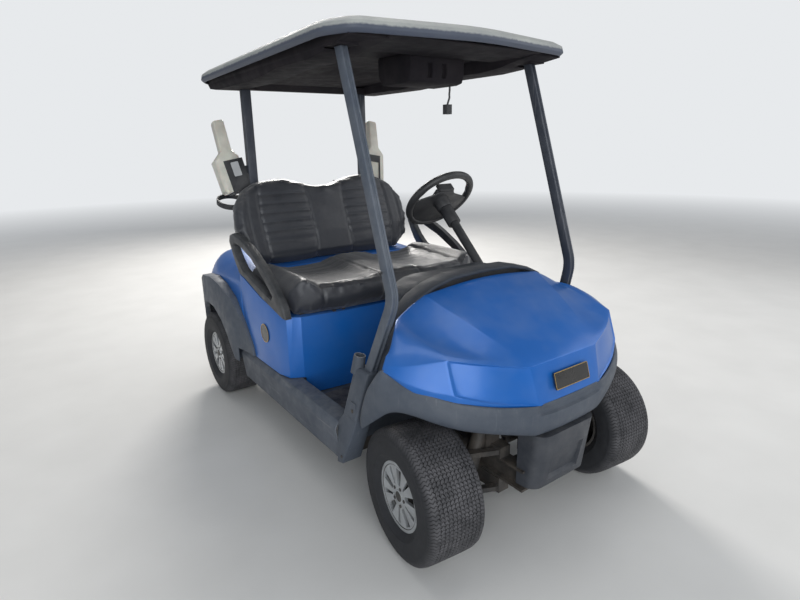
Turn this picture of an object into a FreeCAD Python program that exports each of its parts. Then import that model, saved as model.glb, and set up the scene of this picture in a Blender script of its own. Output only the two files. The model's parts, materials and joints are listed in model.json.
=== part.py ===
import FreeCAD, Part
import math
import os

# Golf cart, two seats, with a canopy. Forward is -Y, the driver's side is +X, the ground is z = 0.

# Wheels and stance
wheelbase = 1664.0
front_axle_y = -910.0
rear_axle_y = front_axle_y + wheelbase
front_track = 876.0
rear_track = 978.0
tyre_radius = 228.6
tyre_width = 216.0
rim_radius = 118.0
rim_width = 176.0
hub_radius = 34.0
spindle_radius = 15.0
running_gap = 0.3
axle_z = tyre_radius

# Steering
kingpin_offset = 98.0
kingpin_x = front_track / 2 - kingpin_offset
kingpin_radius = 13.0
kingpin_boss_radius = 24.0
kingpin_boss_height = 118.0
steer_at_rest = -5.9
steering_arm_length = 105.0
steering_arm_inset = 40.0
wheel_centre = (290.0, -120.0, 1078.0)
wheel_rim_radius = 178.0
wheel_rim_section = 15.0
column_lean = 46.0
column_radius = 17.0
column_length = 400.0

# Body
body_half_width = 556.0
sill_width = 78.0
floor_half = body_half_width - sill_width
panel_wall = 4.0
nose_y = -1153.0
tail_y = 1134.0
floor_thickness = 10.0
seat_deck_z = 640.0
rocker_top_z = 366.0

# Canopy
roof_half_width = 545.0
roof_front_y = -706.0
roof_rear_y = 792.0
roof_rim_z = 1645.0
roof_top_rise = 82.0
roof_wall = 5.0
roof_tilt = -1.2
front_strut_x = 445.0
rear_strut_x = 335.0
rear_strut_y = 640.0
front_strut_width = 26.0
front_strut_depth = 38.0
rear_strut_width = 46.0
rear_strut_depth = 34.0

# Frame
rail_x = 255.0
rail_width = 50.0
rail_height = 80.0
rail_z = 196.0
front_rail_x = 130.0
kick_up = 104.0
floor_z = rail_z + rail_height
seam_gap = 0.5
seat_gap = 0.3

os.makedirs("parts", exist_ok=True)
vector = FreeCAD.Vector


def box(x0, x1, y0, y1, z0, z1):
    return Part.makeBox(x1 - x0, y1 - y0, z1 - z0, vector(x0, y0, z0))


def cylinder(start, direction, radius, height):
    return Part.makeCylinder(radius, height, vector(*start), vector(*direction))


def face_of(points):
    return Part.Face(Part.makePolygon([vector(*p) for p in points] + [vector(*points[0])]))


def prism_x(yz, x0, x1):
    return face_of([(x0, y, z) for y, z in yz]).extrude(vector(x1 - x0, 0, 0))


def prism_y(xz, y0, y1):
    return face_of([(x, y0, z) for x, z in xz]).extrude(vector(0, y1 - y0, 0))


def prism_z(xy, z0, z1):
    return face_of([(x, y, z0) for x, y in xy]).extrude(vector(0, 0, z1 - z0))


def mirrored(shape):
    return shape.mirror(vector(0, 0, 0), vector(1, 0, 0))


def both_sides(half):
    """Points of a right half, from the centre outwards, with their mirror image."""
    return [(-p[0],) + tuple(p[1:]) for p in reversed(half)] + [p for p in half if p[0] > 0]


def sheet(points, wall):
    """Closed outline of a sheet with this wall, drawn to the left of an open line of 2D points."""
    normals = []
    for (a, b), (c, d) in zip(points, points[1:]):
        length = math.hypot(c - a, d - b)
        normals.append((-(d - b) / length, (c - a) / length))
    offset = []
    for i, (a, b) in enumerate(points):
        n0 = normals[max(i - 1, 0)]
        n1 = normals[min(i, len(normals) - 1)]
        scale = wall / (1.0 + n0[0] * n1[0] + n0[1] * n1[1])
        offset.append((a + (n0[0] + n1[0]) * scale, b + (n0[1] + n1[1]) * scale))
    return points + offset[::-1]


def bent_path(points, radii):
    """Wire of straight runs joined by tangent arcs, one radius for each inner point."""
    pts = [vector(*p) for p in points]
    edges = []
    start = pts[0]
    for i, radius in enumerate(radii, start=1):
        to_last = (pts[i - 1] - pts[i]).normalize()
        to_next = (pts[i + 1] - pts[i]).normalize()
        turn = math.pi - to_last.getAngle(to_next)
        cut = radius * math.tan(turn / 2)
        first = pts[i] + to_last * cut
        last = pts[i] + to_next * cut
        middle = (to_last + to_next).normalize()
        centre = pts[i] + middle * (radius / math.cos(turn / 2))
        edges.append(Part.LineSegment(start, first).toShape())
        edges.append(Part.Arc(first, centre - middle * radius, last).toShape())
        start = last
    edges.append(Part.LineSegment(start, pts[-1]).toShape())
    return Part.Wire(edges)


def swept(path, section):
    return path.makePipeShell([section], True, False)


def tube(points, radii, radius):
    start = vector(*points[0])
    direction = vector(*points[1]) - start
    return swept(bent_path(points, radii), Part.Wire([Part.makeCircle(radius, start, direction)]))


def rounded_ring(points, radii, z, steps=4):
    """Closed outline at height z whose corners follow arcs of the given radii in straight steps."""
    corners = []
    count = len(points)
    for i, (x, y) in enumerate(points):
        here = vector(x, y, z)
        to_last = (vector(*points[i - 1], z) - here).normalize()
        to_next = (vector(*points[(i + 1) % count], z) - here).normalize()
        turn = math.pi - to_last.getAngle(to_next)
        middle = (to_last + to_next).normalize()
        centre = here + middle * (radii[i] / math.cos(turn / 2))
        start = here + to_last * (radii[i] * math.tan(turn / 2)) - centre
        end = here + to_next * (radii[i] * math.tan(turn / 2)) - centre
        for step in range(steps + 1):
            share = step / steps
            spoke = start * math.sin((1 - share) * turn) + end * math.sin(share * turn)
            corners.append(centre + spoke * (1.0 / math.sin(turn)))
    return corners


def faceted(rings):
    """Solid of flat facets through level rings that have the same number of points."""
    faces = [Part.Face(Part.makePolygon(ring + ring[:1])) for ring in (rings[0][::-1], rings[-1])]
    for low, high in zip(rings, rings[1:]):
        for i in range(len(low)):
            j = (i + 1) % len(low)
            for corners in ((low[i], low[j], high[j]), (low[i], high[j], high[i])):
                faces.append(Part.Face(Part.makePolygon(list(corners) + [corners[0]])))
    shell = Part.makeShell(faces)
    shell.sewShape()
    return Part.makeSolid(shell)


def save(name, shape):
    shape.exportStep("parts/%s.step" % name)


# Steering geometry

def steered(shape, side):
    """Turns a piece built straight ahead to the rest angle, about the kingpin of its side."""
    turned = shape.copy()
    turned.rotate(vector(side * kingpin_x, front_axle_y, 0), vector(0, 0, 1), steer_at_rest)
    return turned


# Tyres and rims

# Radius and half width of the tyre's outside, from the tread's middle to the bead
tyre_profile = [
    (tyre_radius, 0.0),
    (tyre_radius, 0.32 * tyre_width),
    (tyre_radius - 3.0, 0.40 * tyre_width),
    (tyre_radius - 14.0, 0.455 * tyre_width),
    (tyre_radius - 38.0, 0.495 * tyre_width),
    (tyre_radius - 68.0, 0.500 * tyre_width),
    (rim_radius + 12.0, 0.455 * tyre_width),
    (rim_radius + running_gap, rim_width / 2),
]


def ring_about_x(half_profile, inner_radius):
    outline = [(w, r) for r, w in half_profile] + [(half_profile[-1][1], inner_radius)]
    outline = outline + [(-w, r) for w, r in reversed(outline)]
    clean = []
    for point in outline:
        if point not in clean:
            clean.append(point)
    face = face_of([(w, 0, r) for w, r in clean])
    return face.revolve(vector(0, 0, 0), vector(1, 0, 0), 360)


def tyre():
    return ring_about_x(tyre_profile, rim_radius + running_gap)


spoke_pairs = 5


def rim():
    """Steel wheel with its hub and the wheel cover on the +X side, axis along X."""
    half = rim_width / 2
    barrel = cylinder((-half, 0, 0), (1, 0, 0), rim_radius, rim_width)
    barrel = barrel.cut(cylinder((-half - 1, 0, 0), (1, 0, 0), rim_radius - 10.0, rim_width + 2))
    disc = cylinder((half - 34.0, 0, 0), (1, 0, 0), rim_radius - 5.0, 8.0)
    hub = cylinder((half - 86.0, 0, 0), (1, 0, 0), hub_radius, 70.0)
    cover = cylinder((half - 12.0, 0, 0), (1, 0, 0), rim_radius - 3.0, 10.0)
    centre_cap = cylinder((half - 20.0, 0, 0), (1, 0, 0), 24.0, 20.0)
    for index in range(spoke_pairs):
        for offset, inner, outer in ((0.0, 8.0, 15.5), (36.0, 3.0, 8.0)):
            window = prism_x([(-inner, 42.0), (inner, 42.0), (outer, 99.0), (-outer, 99.0)], half - 13, half)
            window.rotate(vector(0, 0, 0), vector(1, 0, 0), index * 360.0 / spoke_pairs + offset)
            cover = cover.cut(window)
    rim_solid = barrel.fuse([disc, hub, cover, centre_cap])
    bore = cylinder((half - 90.0, 0, 0), (1, 0, 0), spindle_radius + running_gap, 62.0)
    return rim_solid.cut(bore)


wheel_x = {"front": front_track / 2, "rear": rear_track / 2}
wheel_y = {"front": front_axle_y, "rear": rear_axle_y}
for end in ("front", "rear"):
    for side, name in ((-1, "right"), (1, "left")):
        for kind, shape in (("tyre", tyre()), ("rim", rim())):
            if side < 0:
                shape = mirrored(shape)
            shape.translate(vector(side * wheel_x[end], wheel_y[end], axle_z))
            if end == "front":
                shape = steered(shape, side)
            save("%s_%s_%s" % (kind, end, name), shape)


# Front knuckles: kingpin boss, spindle and steering arm

knuckle_arm_thickness = 14.0


def knuckle():
    boss = cylinder((kingpin_x, front_axle_y, axle_z - kingpin_boss_height / 2), (0, 0, 1),
                    kingpin_boss_radius, kingpin_boss_height)
    spindle_end = front_track / 2 + rim_width / 2 - 30.0
    spindle = cylinder((kingpin_x, front_axle_y, axle_z), (1, 0, 0), spindle_radius, spindle_end - kingpin_x)
    arm_x = kingpin_x - steering_arm_inset
    arm_y = front_axle_y + steering_arm_length
    arm = prism_z([(kingpin_x - 20, front_axle_y - 14), (kingpin_x + 6, front_axle_y + 14),
                   (arm_x + 12, front_axle_y + 46), (arm_x + 12, arm_y), (arm_x - 12, arm_y),
                   (arm_x - 12, front_axle_y + 26)],
                  axle_z - 30.0, axle_z - 30.0 + knuckle_arm_thickness)
    eye = cylinder((arm_x, arm_y, axle_z - 30.0), (0, 0, 1), 14.0, knuckle_arm_thickness)
    solid = boss.fuse([spindle, arm, eye])
    bore_radius = kingpin_radius + running_gap
    return solid.cut(cylinder((kingpin_x, front_axle_y, axle_z - 100), (0, 0, 1), bore_radius, 200))


for side, name in ((-1, "right"), (1, "left")):
    shape = knuckle() if side > 0 else mirrored(knuckle())
    save("knuckle_" + name, steered(shape, side))


# Front suspension: kingpins, wishbones, cross member and spring towers, in one carrier

arm_half_height = 9.0
lower_arm_z = axle_z - kingpin_boss_height / 2 - 14.0
upper_arm_z = axle_z + kingpin_boss_height / 2 + 14.0
front_rail_top = rail_z + rail_height


def wishbone(z, inner_x):
    outline = [(kingpin_x + 16, front_axle_y - 16), (kingpin_x + 16, front_axle_y + 16),
               (kingpin_x - 42, front_axle_y + 16), (inner_x, front_axle_y + 78),
               (inner_x, front_axle_y + 52), (kingpin_x - 74, front_axle_y + 4),
               (kingpin_x - 74, front_axle_y - 4), (inner_x, front_axle_y - 52),
               (inner_x, front_axle_y - 78), (kingpin_x - 42, front_axle_y - 16)]
    return prism_z(outline, z - arm_half_height, z + arm_half_height)


def front_suspension_side():
    low = lower_arm_z - arm_half_height
    high = upper_arm_z + arm_half_height
    inner_x = front_rail_x + rail_width / 2 + 1.0
    kingpin = cylinder((kingpin_x, front_axle_y, low), (0, 0, 1), kingpin_radius, high - low)
    lower = wishbone(lower_arm_z, inner_x)
    upper = wishbone(upper_arm_z, inner_x)
    tower = box(front_rail_x - 12, inner_x + 26, front_axle_y - 34, front_axle_y + 34, front_rail_top, 420.0)
    foot = vector(kingpin_x - 96, front_axle_y, lower_arm_z + arm_half_height)
    head = vector(inner_x + 14, front_axle_y, 400.0)
    shock_axis = head - foot
    shock = cylinder(tuple(foot), tuple(shock_axis), 11.0, shock_axis.Length)
    spring_start = foot + shock_axis * 0.28
    spring = cylinder(tuple(spring_start), tuple(shock_axis), 27.0, shock_axis.Length * 0.55)
    pivots = [cylinder((front_rail_x + rail_width / 2 - 4, front_axle_y + s * 65, lower_arm_z), (1, 0, 0),
                       12.0, 14.0) for s in (-1, 1)]
    hanger = box(front_rail_x - 20, inner_x + 4, front_axle_y - 80, front_axle_y + 80,
                 lower_arm_z - 16, rail_z)
    upper_mount = box(front_rail_x - 20, inner_x + 4, front_axle_y - 80, front_axle_y + 80,
                      front_rail_top, upper_arm_z + 16)
    return kingpin.fuse([lower, upper, tower, shock, spring, hanger, upper_mount] + pivots)


left_side = front_suspension_side()
bridge = box(-front_rail_x, front_rail_x, front_axle_y - 30, front_axle_y + 30, lower_arm_z - 16,
             lower_arm_z + 6)
save("front_suspension", left_side.fuse([mirrored(left_side), bridge]))

# Steering rack and its tie rods, which slide sideways together

rack_y = front_axle_y + steering_arm_length
rack_z = axle_z - 30.0 - 17.0
turn = math.radians(steer_at_rest)
rack_shift = -steering_arm_length * math.sin(turn)
rod_end_x = kingpin_x - steering_arm_inset
rack_bar = cylinder((-rod_end_x + rack_shift, rack_y, rack_z), (1, 0, 0), 9.0, 2 * rod_end_x)
for x in (-rod_end_x, rod_end_x):
    ball = Part.makeSphere(14.0, vector(x + rack_shift, rack_y, rack_z))
    rack_bar = rack_bar.fuse(ball)
save("rack_bar", rack_bar)

rack_half_length = 160.0
rack_housing = cylinder((-rack_half_length, rack_y, rack_z), (1, 0, 0), 14.0, 2 * rack_half_length)
pinion_tower = cylinder((76.0, rack_y, rack_z), (0, 0.35, 1), 20.0, 66.0)
rack_feet = [box(x - 16, x + 16, rack_y - 20, rack_y + 20, rack_z, rail_z)
             for x in (-front_rail_x, front_rail_x)]
rack_housing = rack_housing.fuse([pinion_tower] + rack_feet)
rack_housing = rack_housing.cut(cylinder((-200, rack_y, rack_z), (1, 0, 0), 9.0 + running_gap, 400))
save("rack_housing", rack_housing)


# Frame: two rails with a kick-up over the rear axle, a narrower front clip and cross members

def i_beam(y0, y1, x, z):
    half = rail_width / 2
    top = z + rail_height
    section = [(x - half, z), (x + half, z), (x + half, z + 8), (x + 4, z + 8), (x + 4, top - 8),
               (x + half, top - 8), (x + half, top), (x - half, top), (x - half, top - 8), (x - 4, top - 8),
               (x - 4, z + 8), (x - half, z + 8)]
    return prism_y(section, y0, y1)


rail_rear_y = 1078.0
kick_y = 355.0
frame_front_y = -1090.0
pieces = []
for side in (-1, 1):
    pieces.append(i_beam(-590.0, kick_y + 50, side * rail_x, rail_z))
    pieces.append(i_beam(kick_y - 30, rail_rear_y, side * rail_x, rail_z + kick_up))
    pieces.append(box(side * rail_x - 25, side * rail_x + 25, kick_y - 30, kick_y + 50, rail_z + 40,
                      rail_z + kick_up + 40))
    pieces.append(i_beam(frame_front_y, -540.0, side * front_rail_x, rail_z))
# Cross members: y, half length, base height
cross_members = [
    (-575.0, rail_x + 20, rail_z + 6),
    (-200.0, rail_x, rail_z + 6),
    (150.0, rail_x, rail_z + 6),
    (480.0, rail_x, rail_z + kick_up + 6),
    (1050.0, rail_x, rail_z + kick_up + 6),
    (-1070.0, front_rail_x, rail_z + 6),
]
for y, half, z in cross_members:
    pieces.append(box(-half, half, y - 22, y + 22, z, z + 60))
# Outriggers under the floor that carry the rockers and the struts
outrigger_x = floor_half + 8.0
for y in (-560.0, -180.0, 190.0):
    for side in (-1, 1):
        x0, x1 = sorted((side * rail_x, side * outrigger_x))
        pieces.append(box(x0, x1, y - 18, y + 18, rail_z + 30, rail_z + rail_height))
frame_solid = pieces[0].fuse(pieces[1:])
save("chassis_frame", frame_solid)

# Rear axle with its gearbox and drive motor

axle_tube_radius = 36.0
rear_hub_x = rear_track / 2 - rim_width / 2
axle_end = rear_track / 2 + rim_width / 2 - 30.0
rear_tube = cylinder((-rear_hub_x - 20, rear_axle_y, axle_z), (1, 0, 0), axle_tube_radius,
                     2 * rear_hub_x + 40)
rear_shaft = cylinder((-axle_end, rear_axle_y, axle_z), (1, 0, 0), spindle_radius, 2 * axle_end)
gear_case = cylinder((30, rear_axle_y, axle_z), (1, 0, 0), 84.0, 96.0)
drop_case = prism_x([(rear_axle_y - 190, 200), (rear_axle_y - 130, 156), (rear_axle_y + 40, 150),
                     (rear_axle_y + 60, 280), (rear_axle_y - 60, 306), (rear_axle_y - 190, 300)], 40, 110)
motor_y = rear_axle_y - 132.0
motor = cylinder((-176, motor_y, axle_z + 12), (1, 0, 0), 84.0, 220.0)
save("rear_axle", rear_tube.fuse([rear_shaft, gear_case, drop_case, motor]))

# Leaf springs, hangers and dampers of the rear axle, on the rails
leaf_half_span = 305.0
leaf_width = 44.0
leaf_thickness = 8.0
spring_eye_z = 264.0
seat_z = axle_z - axle_tube_radius


leaf_sag = spring_eye_z - seat_z
leaf_arc = (leaf_half_span ** 2 + leaf_sag ** 2) / (2 * leaf_sag)
leaf_shares = [1.0, 0.72, 0.46]


def leaf_point(x, layer, angle):
    """Point on the stack of leaves: layer 0 is the top of the main leaf."""
    radius = leaf_arc + layer * leaf_thickness
    return vector(x, rear_axle_y + radius * math.sin(angle), seat_z + leaf_arc - radius * math.cos(angle))


def leaf_stack(x):
    """Side outline of the leaves, stepped at their ends, as a face at this x."""
    ends = [math.asin(leaf_half_span * share / leaf_arc) for share in leaf_shares]
    edges = [Part.Arc(leaf_point(x, 0, ends[0]), leaf_point(x, 0, 0), leaf_point(x, 0, -ends[0])).toShape()]
    steps = []
    for layer, end in enumerate(ends, start=1):
        steps.append((layer - 1, end))
        steps.append((layer, end))
    for (a, b), (c, d) in zip(steps, steps[1:]):
        for sign in (1, -1):
            first, last = leaf_point(x, a, sign * b), leaf_point(x, c, sign * d)
            if a == c:
                edges.append(Part.Arc(first, leaf_point(x, a, sign * (b + d) / 2), last).toShape())
            else:
                edges.append(Part.LineSegment(first, last).toShape())
    layer, end = steps[-1]
    ends = [leaf_point(x, layer, angle) for angle in (end, 0, -end)]
    edges.append(Part.Arc(*ends).toShape())
    return Part.Face(Part.Wire(Part.__sortEdges__(edges)))


def leaf_spring(side):
    x0 = side * rail_x - leaf_width / 2
    x1 = side * rail_x + leaf_width / 2
    solids = [leaf_stack(x0).extrude(vector(leaf_width, 0, 0))]
    for direction in (-1, 1):
        eye_y = rear_axle_y + direction * (leaf_half_span + 6)
        solids.append(cylinder((x0, eye_y, spring_eye_z), (1, 0, 0), 16.0, leaf_width))
        solids.append(box(x0, x1, eye_y - 11, eye_y + 11, spring_eye_z, rail_z + kick_up))
    for y in (rear_axle_y - axle_tube_radius - 12, rear_axle_y + axle_tube_radius + 2):
        solids.append(box(x0, x1, y, y + 10, seat_z - 34, seat_z + 8))
    solids.append(box(x0, x1, rear_axle_y - 48, rear_axle_y + 48, seat_z - 34, seat_z - 20))
    damper_x = side * (rail_x + 46)
    damper = cylinder((damper_x, rear_axle_y - 60, seat_z - 30), (0, -0.25, 1), 18.0, 170.0)
    bracket = box(min(x0, damper_x - 10), max(x1, damper_x + 10), rear_axle_y - 66, rear_axle_y - 44,
                  seat_z - 40, seat_z - 24)
    return solids[0].fuse(solids[1:] + [damper, bracket])


save("rear_springs", Part.makeCompound([leaf_spring(-1), leaf_spring(1)]))

# Floor pan with its toe board, and the ribbed mat on it

floor_front_y = -580.0
toe_top = (-690.0, 500.0)
seat_front_y = -120.0
floor_rear_y = -75.0
floor_line = [(floor_rear_y, floor_z), (floor_front_y, floor_z), toe_top]
floor = prism_x(sheet(floor_line, -floor_thickness), -floor_half, floor_half)
save("floor_pan", floor)

toe_slope = (toe_top[0] - floor_front_y) / (toe_top[1] - floor_z)
mat_corner_y = floor_front_y + floor_thickness * (math.sqrt(1 + toe_slope ** 2) + toe_slope)
mat_rise = 120.0
mat_line = [(seat_front_y - 60, floor_z + floor_thickness), (mat_corner_y, floor_z + floor_thickness),
            (mat_corner_y + toe_slope * mat_rise, floor_z + floor_thickness + mat_rise)]
mat = prism_x(sheet(mat_line, -4.0), -floor_half + 14, floor_half - 14).cut(floor)
save("floor_mat", mat)

# Rockers: the grey sills beside the floor

rocker_front_y = -559.5
rocker_rear_y = 392.0
rocker_section = [(floor_half + 2, floor_z + 26), (floor_half + 14, rocker_top_z),
                  (body_half_width - 6, rocker_top_z - 4), (body_half_width + 8, rocker_top_z - 26),
                  (body_half_width - 6, 216.0), (outrigger_x + 8, 206.0)]
for side, name in ((-1, "right"), (1, "left")):
    section = [(side * x, z) for x, z in sheet(rocker_section, 5.0)]
    save("rocker_" + name, prism_y(section, rocker_front_y, rocker_rear_y))

# Front cowl: a plan outline drafted upwards, cut by the hood's top

# Half plan of the nose at the bumper's top edge: x, y
nose_plan = [(0.0, nose_y), (150.0, -1149.0), (300.0, -1107.0), (402.0, -1050.0), (469.0, -991.0),
             (519.0, -928.0), (546.0, -862.0), (body_half_width, -790.0), (body_half_width, -640.0)]
# The same corners at 720 mm above the ground
nose_plan_top = [(0.0, -1110.0), (165.0, -1102.0), (300.0, -1060.0), (391.0, -1010.0), (450.0, -950.0),
                 (494.0, -880.0), (512.0, -820.0), (520.0, -760.0), (520.0, -640.0)]
# Hood sections: y, then x and z from the centre outwards
hood_sections = [
    (-1140.0, [(0, 668), (150, 660), (300, 650), (420, 640), (500, 600), (600, 560)]),
    (-1000.0, [(0, 726), (210, 718), (391, 715), (460, 700), (520, 640), (600, 560)]),
    (-880.0, [(0, 788), (252, 778), (400, 762), (480, 730), (545, 660), (600, 560)]),
    (-727.0, [(0, 868), (150, 864), (300, 830), (400, 768), (490, 700), (600, 600)]),
]
cowl_base_z = 470.0
cowl_rear_y = -727.0


def drafted_nose(inset, z0, z1):
    rise = 720.0 - 545.0
    wires = []
    for z in (z0, 545.0, z1):
        share = max(z - 545.0, 0.0) / rise
        half = []
        for (x, y), (u, v) in zip(nose_plan, nose_plan_top):
            cx = x + (u - x) * share
            cy = y + (v - y) * share
            shrink = 1.0 - inset / body_half_width
            half.append((cx * shrink, cy + inset if cy < -650 else cy))
        points = both_sides(half)
        wires.append(Part.makePolygon([vector(x, y, z) for x, y in points] + [vector(*points[0], z)]))
    return Part.makeLoft(wires, True, True)


def hood_block(drop, y_shift=0.0):
    wires = []
    for y, half in hood_sections:
        top = both_sides([(x, z - drop) for x, z in half])
        points = [(top[0][0], 380.0)] + top + [(top[-1][0], 380.0)]
        wires.append(Part.makePolygon([vector(x, y + y_shift, z) for x, z in points] +
                                      [vector(points[0][0], y + y_shift, points[0][1])]))
    return Part.makeLoft(wires, True, True)


# Blue and grey meet on this line, seen from the side: y, z
bumper_top_line = [(-1175.0, 538.0), (-1150.0, 540.0), (-1107.0, 562.0), (-1050.0, 584.0), (-991.0, 606.0),
                   (-928.0, 642.0), (-862.0, 676.0), (-720.0, 700.0), (-600.0, 700.0)]
# Lower edge of the bumper and the front arches, seen from the side: y, z
bumper_low_line = [(-1175.0, 424.0), (-1150.0, 428.0), (-1109.0, 466.0), (-1043.0, 488.0), (-1000.0, 510.0),
                   (-950.0, 532.0), (-905.0, 540.0), (-862.0, 528.0), (-800.0, 486.0), (-740.0, 430.0),
                   (-671.0, 352.0), (-600.0, 300.0)]


def above(line, gap):
    top = [(line[-1][0], 1000.0), (line[0][0], 1000.0)]
    return prism_x([(y, z + gap) for y, z in line] + top, -700, 700)


def below(line, gap):
    low = [(line[-1][0], 100.0), (line[0][0], 100.0)]
    return prism_x([(y, z - gap) for y, z in line] + low, -700, 700)


strut_bend = (front_strut_x + 1, -771.0, 852.0)
strut_top = (front_strut_x - 1, -502.0, 1640.0)
strut_foot = (outrigger_x + 34.0, -640.0, 430.0)
strut_bend_radius = 120.0


def strut_section(point, direction, width, depth, groove):
    """Oblong with a groove in its front face, square to the direction."""
    out = vector(*direction).normalize()
    across = vector(1, 0, 0)
    across = (across - out * across.dot(out)).normalize()
    fore = out.cross(across)
    w, d = width / 2, depth / 2
    corners = [(-w, -d), (-w, d), (w, d), (w, -d)]
    if groove:
        corners = corners + [(groove, -d), (groove, -d + groove), (-groove, -d + groove), (-groove, -d)]
    points = [vector(*point) + across * a + fore * b for a, b in corners]
    return Part.makePolygon(points + [points[0]])


def front_strut(side, clearance, groove):
    """The bent tube of one side, run past both ends and cut level there."""
    low, bend, top = [vector(side * x, y, z) for x, y, z in (strut_foot, strut_bend, strut_top)]
    start = low - (bend - low) * 0.1
    end = top + (top - bend) * 0.05
    path = bent_path([tuple(start), tuple(bend), tuple(end)], [strut_bend_radius])
    section = strut_section(tuple(start), tuple(bend - low), front_strut_width + 2 * clearance,
                            front_strut_depth + 2 * clearance, groove)
    return swept(path, section).common(box(-700, 700, -1000, -300, strut_foot[2], strut_top[2]))


# Recessed facet beside the nose's middle panel, seen from the front: x, z
facet_line = [(172.0, 660.0), (372.0, 700.0), (384.0, 668.0), (374.0, 590.0), (164.0, 548.0)]
facet_depth = 6.0


def facet_recess(inset):
    """What the two facets take from the nose, or from the hollow inside it at this inset."""
    middle_x, middle_z = 275.0, 630.0
    outline = []
    for x, z in facet_line:
        reach = math.hypot(x - middle_x, z - middle_z)
        outline.append((x + (x - middle_x) / reach * inset, z + (z - middle_z) / reach * inset))
    band = drafted_nose(inset, cowl_base_z, 900.0)
    band = band.cut(drafted_nose(inset + facet_depth, cowl_base_z - 1, 901.0))
    right = prism_y([(-x, z) for x, z in outline], -1200.0, -900.0)
    return band.common(right.fuse(prism_y(outline, -1200.0, -900.0)))


strut_clearance = 1.0
strut_space = front_strut(1, strut_clearance, 0).fuse(front_strut(-1, strut_clearance, 0))
cowl_outer = drafted_nose(0.0, cowl_base_z, 900.0).common(hood_block(0.0)).cut(facet_recess(0.0))
cowl_inner = drafted_nose(panel_wall, cowl_base_z - 1, 901.0).common(hood_block(panel_wall, 2.0))
cowl_inner = cowl_inner.cut(facet_recess(panel_wall))
cowl = cowl_outer.cut(cowl_inner).common(above(bumper_top_line, seam_gap))
cowl = cowl.cut(box(-700, 700, cowl_rear_y, -600, 300, 1000)).cut(strut_space)
save("front_cowl", cowl)

# Bumper and front arches: the grey lower shell
fascia_proud = 6.0
fascia_outer = drafted_nose(-fascia_proud, 290.0, 720.0)
fascia_inner = drafted_nose(0.0, 289.0, 721.0)
fascia = fascia_outer.cut(fascia_inner)
fascia = fascia.common(below(bumper_top_line, 0.0)).common(above(bumper_low_line, 0.0))
# The bumper ends beside the strut's base
bumper_rear_line = [(-640.0, 200.0), (-690.0, 432.0), (cowl_rear_y, 560.0), (cowl_rear_y, 800.0),
                    (-500.0, 800.0), (-500.0, 200.0)]
fascia = fascia.cut(prism_x(bumper_rear_line, -700, 700))
save("front_bumper", fascia)

# Bumper box below the nose, with the recess for a plate, on the frame's front end
box_half_top = 150.0
box_back_y = frame_front_y - 2.3
bumper_box_outer = [(-1152.0, 423.0), (-1157.0, 415.0), (-1148.0, 250.0), (-1126.0, 196.0),
                    (box_back_y, 190.0), (box_back_y, 423.0)]
front_box = prism_x(bumper_box_outer, -box_half_top, box_half_top)
front_box = front_box.cut(box(-box_half_top + 5, box_half_top - 5, -1141.0, box_back_y - 5, 204.0, 418.0))
chamfers = prism_z([(-box_half_top - 1, -1170), (-118, -1170), (-box_half_top - 1, -1120)], 150, 450)
front_box = front_box.cut(chamfers).cut(mirrored(chamfers))
front_box = front_box.cut(box(-85, 85, -1160.0, -1149.0, 262.0, 388.0))
save("bumper_box", front_box)

# Dash cap: the arched band behind the cowl

cap_arch = [(0.0, 886.0), (150.0, 881.0), (240.0, 860.0), (310.0, 828.0), (400.0, 752.0), (440.0, 704.0)]
cap_front_y = cowl_rear_y + 0.5
cap_rear_y = -648.0
arch_points = both_sides(cap_arch)
cap_outline = sheet(arch_points, -14.0)
dash_cap = prism_y(cap_outline, cap_front_y, cap_rear_y).cut(strut_space)
save("dash_cap", dash_cap)

# Firewall: stands on the toe board and closes the arch
cap_thickness = 14.0
under_arch = [(x * 0.972, z - cap_thickness - seat_gap) for x, z in cap_arch]
arch_foot_x = under_arch[-1][0]
arch_inside = prism_y([(-arch_foot_x, 400.0)] + both_sides(under_arch) + [(arch_foot_x, 400.0)], -760, -400)
firewall_y = toe_top[0] - floor_thickness
firewall = box(-floor_half, floor_half, firewall_y, firewall_y + 8, toe_top[1] + 12, 900).common(arch_inside)
firewall = firewall.fuse(box(-floor_half, floor_half, firewall_y, firewall_y + 18, toe_top[1] + 5.5,
                             toe_top[1] + 20))
save("firewall", firewall.cut(floor).cut(strut_space))

# Dashboard: face with two pockets under the cap
dash_half = 430.0
dash_front_y = firewall_y + 8.3
dash_side = [(dash_front_y, 600), (-520, 620), (-470, 690), (-462, 800), (-500, 850), (dash_front_y, 880)]
dash_block = prism_x(dash_side, -dash_half, dash_half).common(arch_inside)
dash_block = dash_block.cut(box(-600, 600, dash_front_y - 20, cap_rear_y + 0.3, 500, 900).cut(arch_inside))
# Pockets: left and right edge, floor and top
pockets = [(-390.0, -150.0, 690.0, 790.0), (-130.0, 110.0, 690.0, 800.0)]
for x0, x1, z0, z1 in pockets:
    dash_block = dash_block.cut(box(x0, x1, -640, -440, z0, z1))
lean = math.radians(column_lean)
column_up = vector(0, math.sin(lean), math.cos(lean))
hub_point = vector(*wheel_centre)
column_top = hub_point - column_up * 62.0
column_foot = column_top - column_up * column_length
column = cylinder(tuple(column_foot), tuple(column_up), column_radius, column_length)
column_hole = cylinder(tuple(column_foot - column_up * seat_gap), tuple(column_up),
                       column_radius + seat_gap, 500.0)
dash_block = dash_block.cut(column_hole)
save("dashboard", dash_block)

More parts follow.
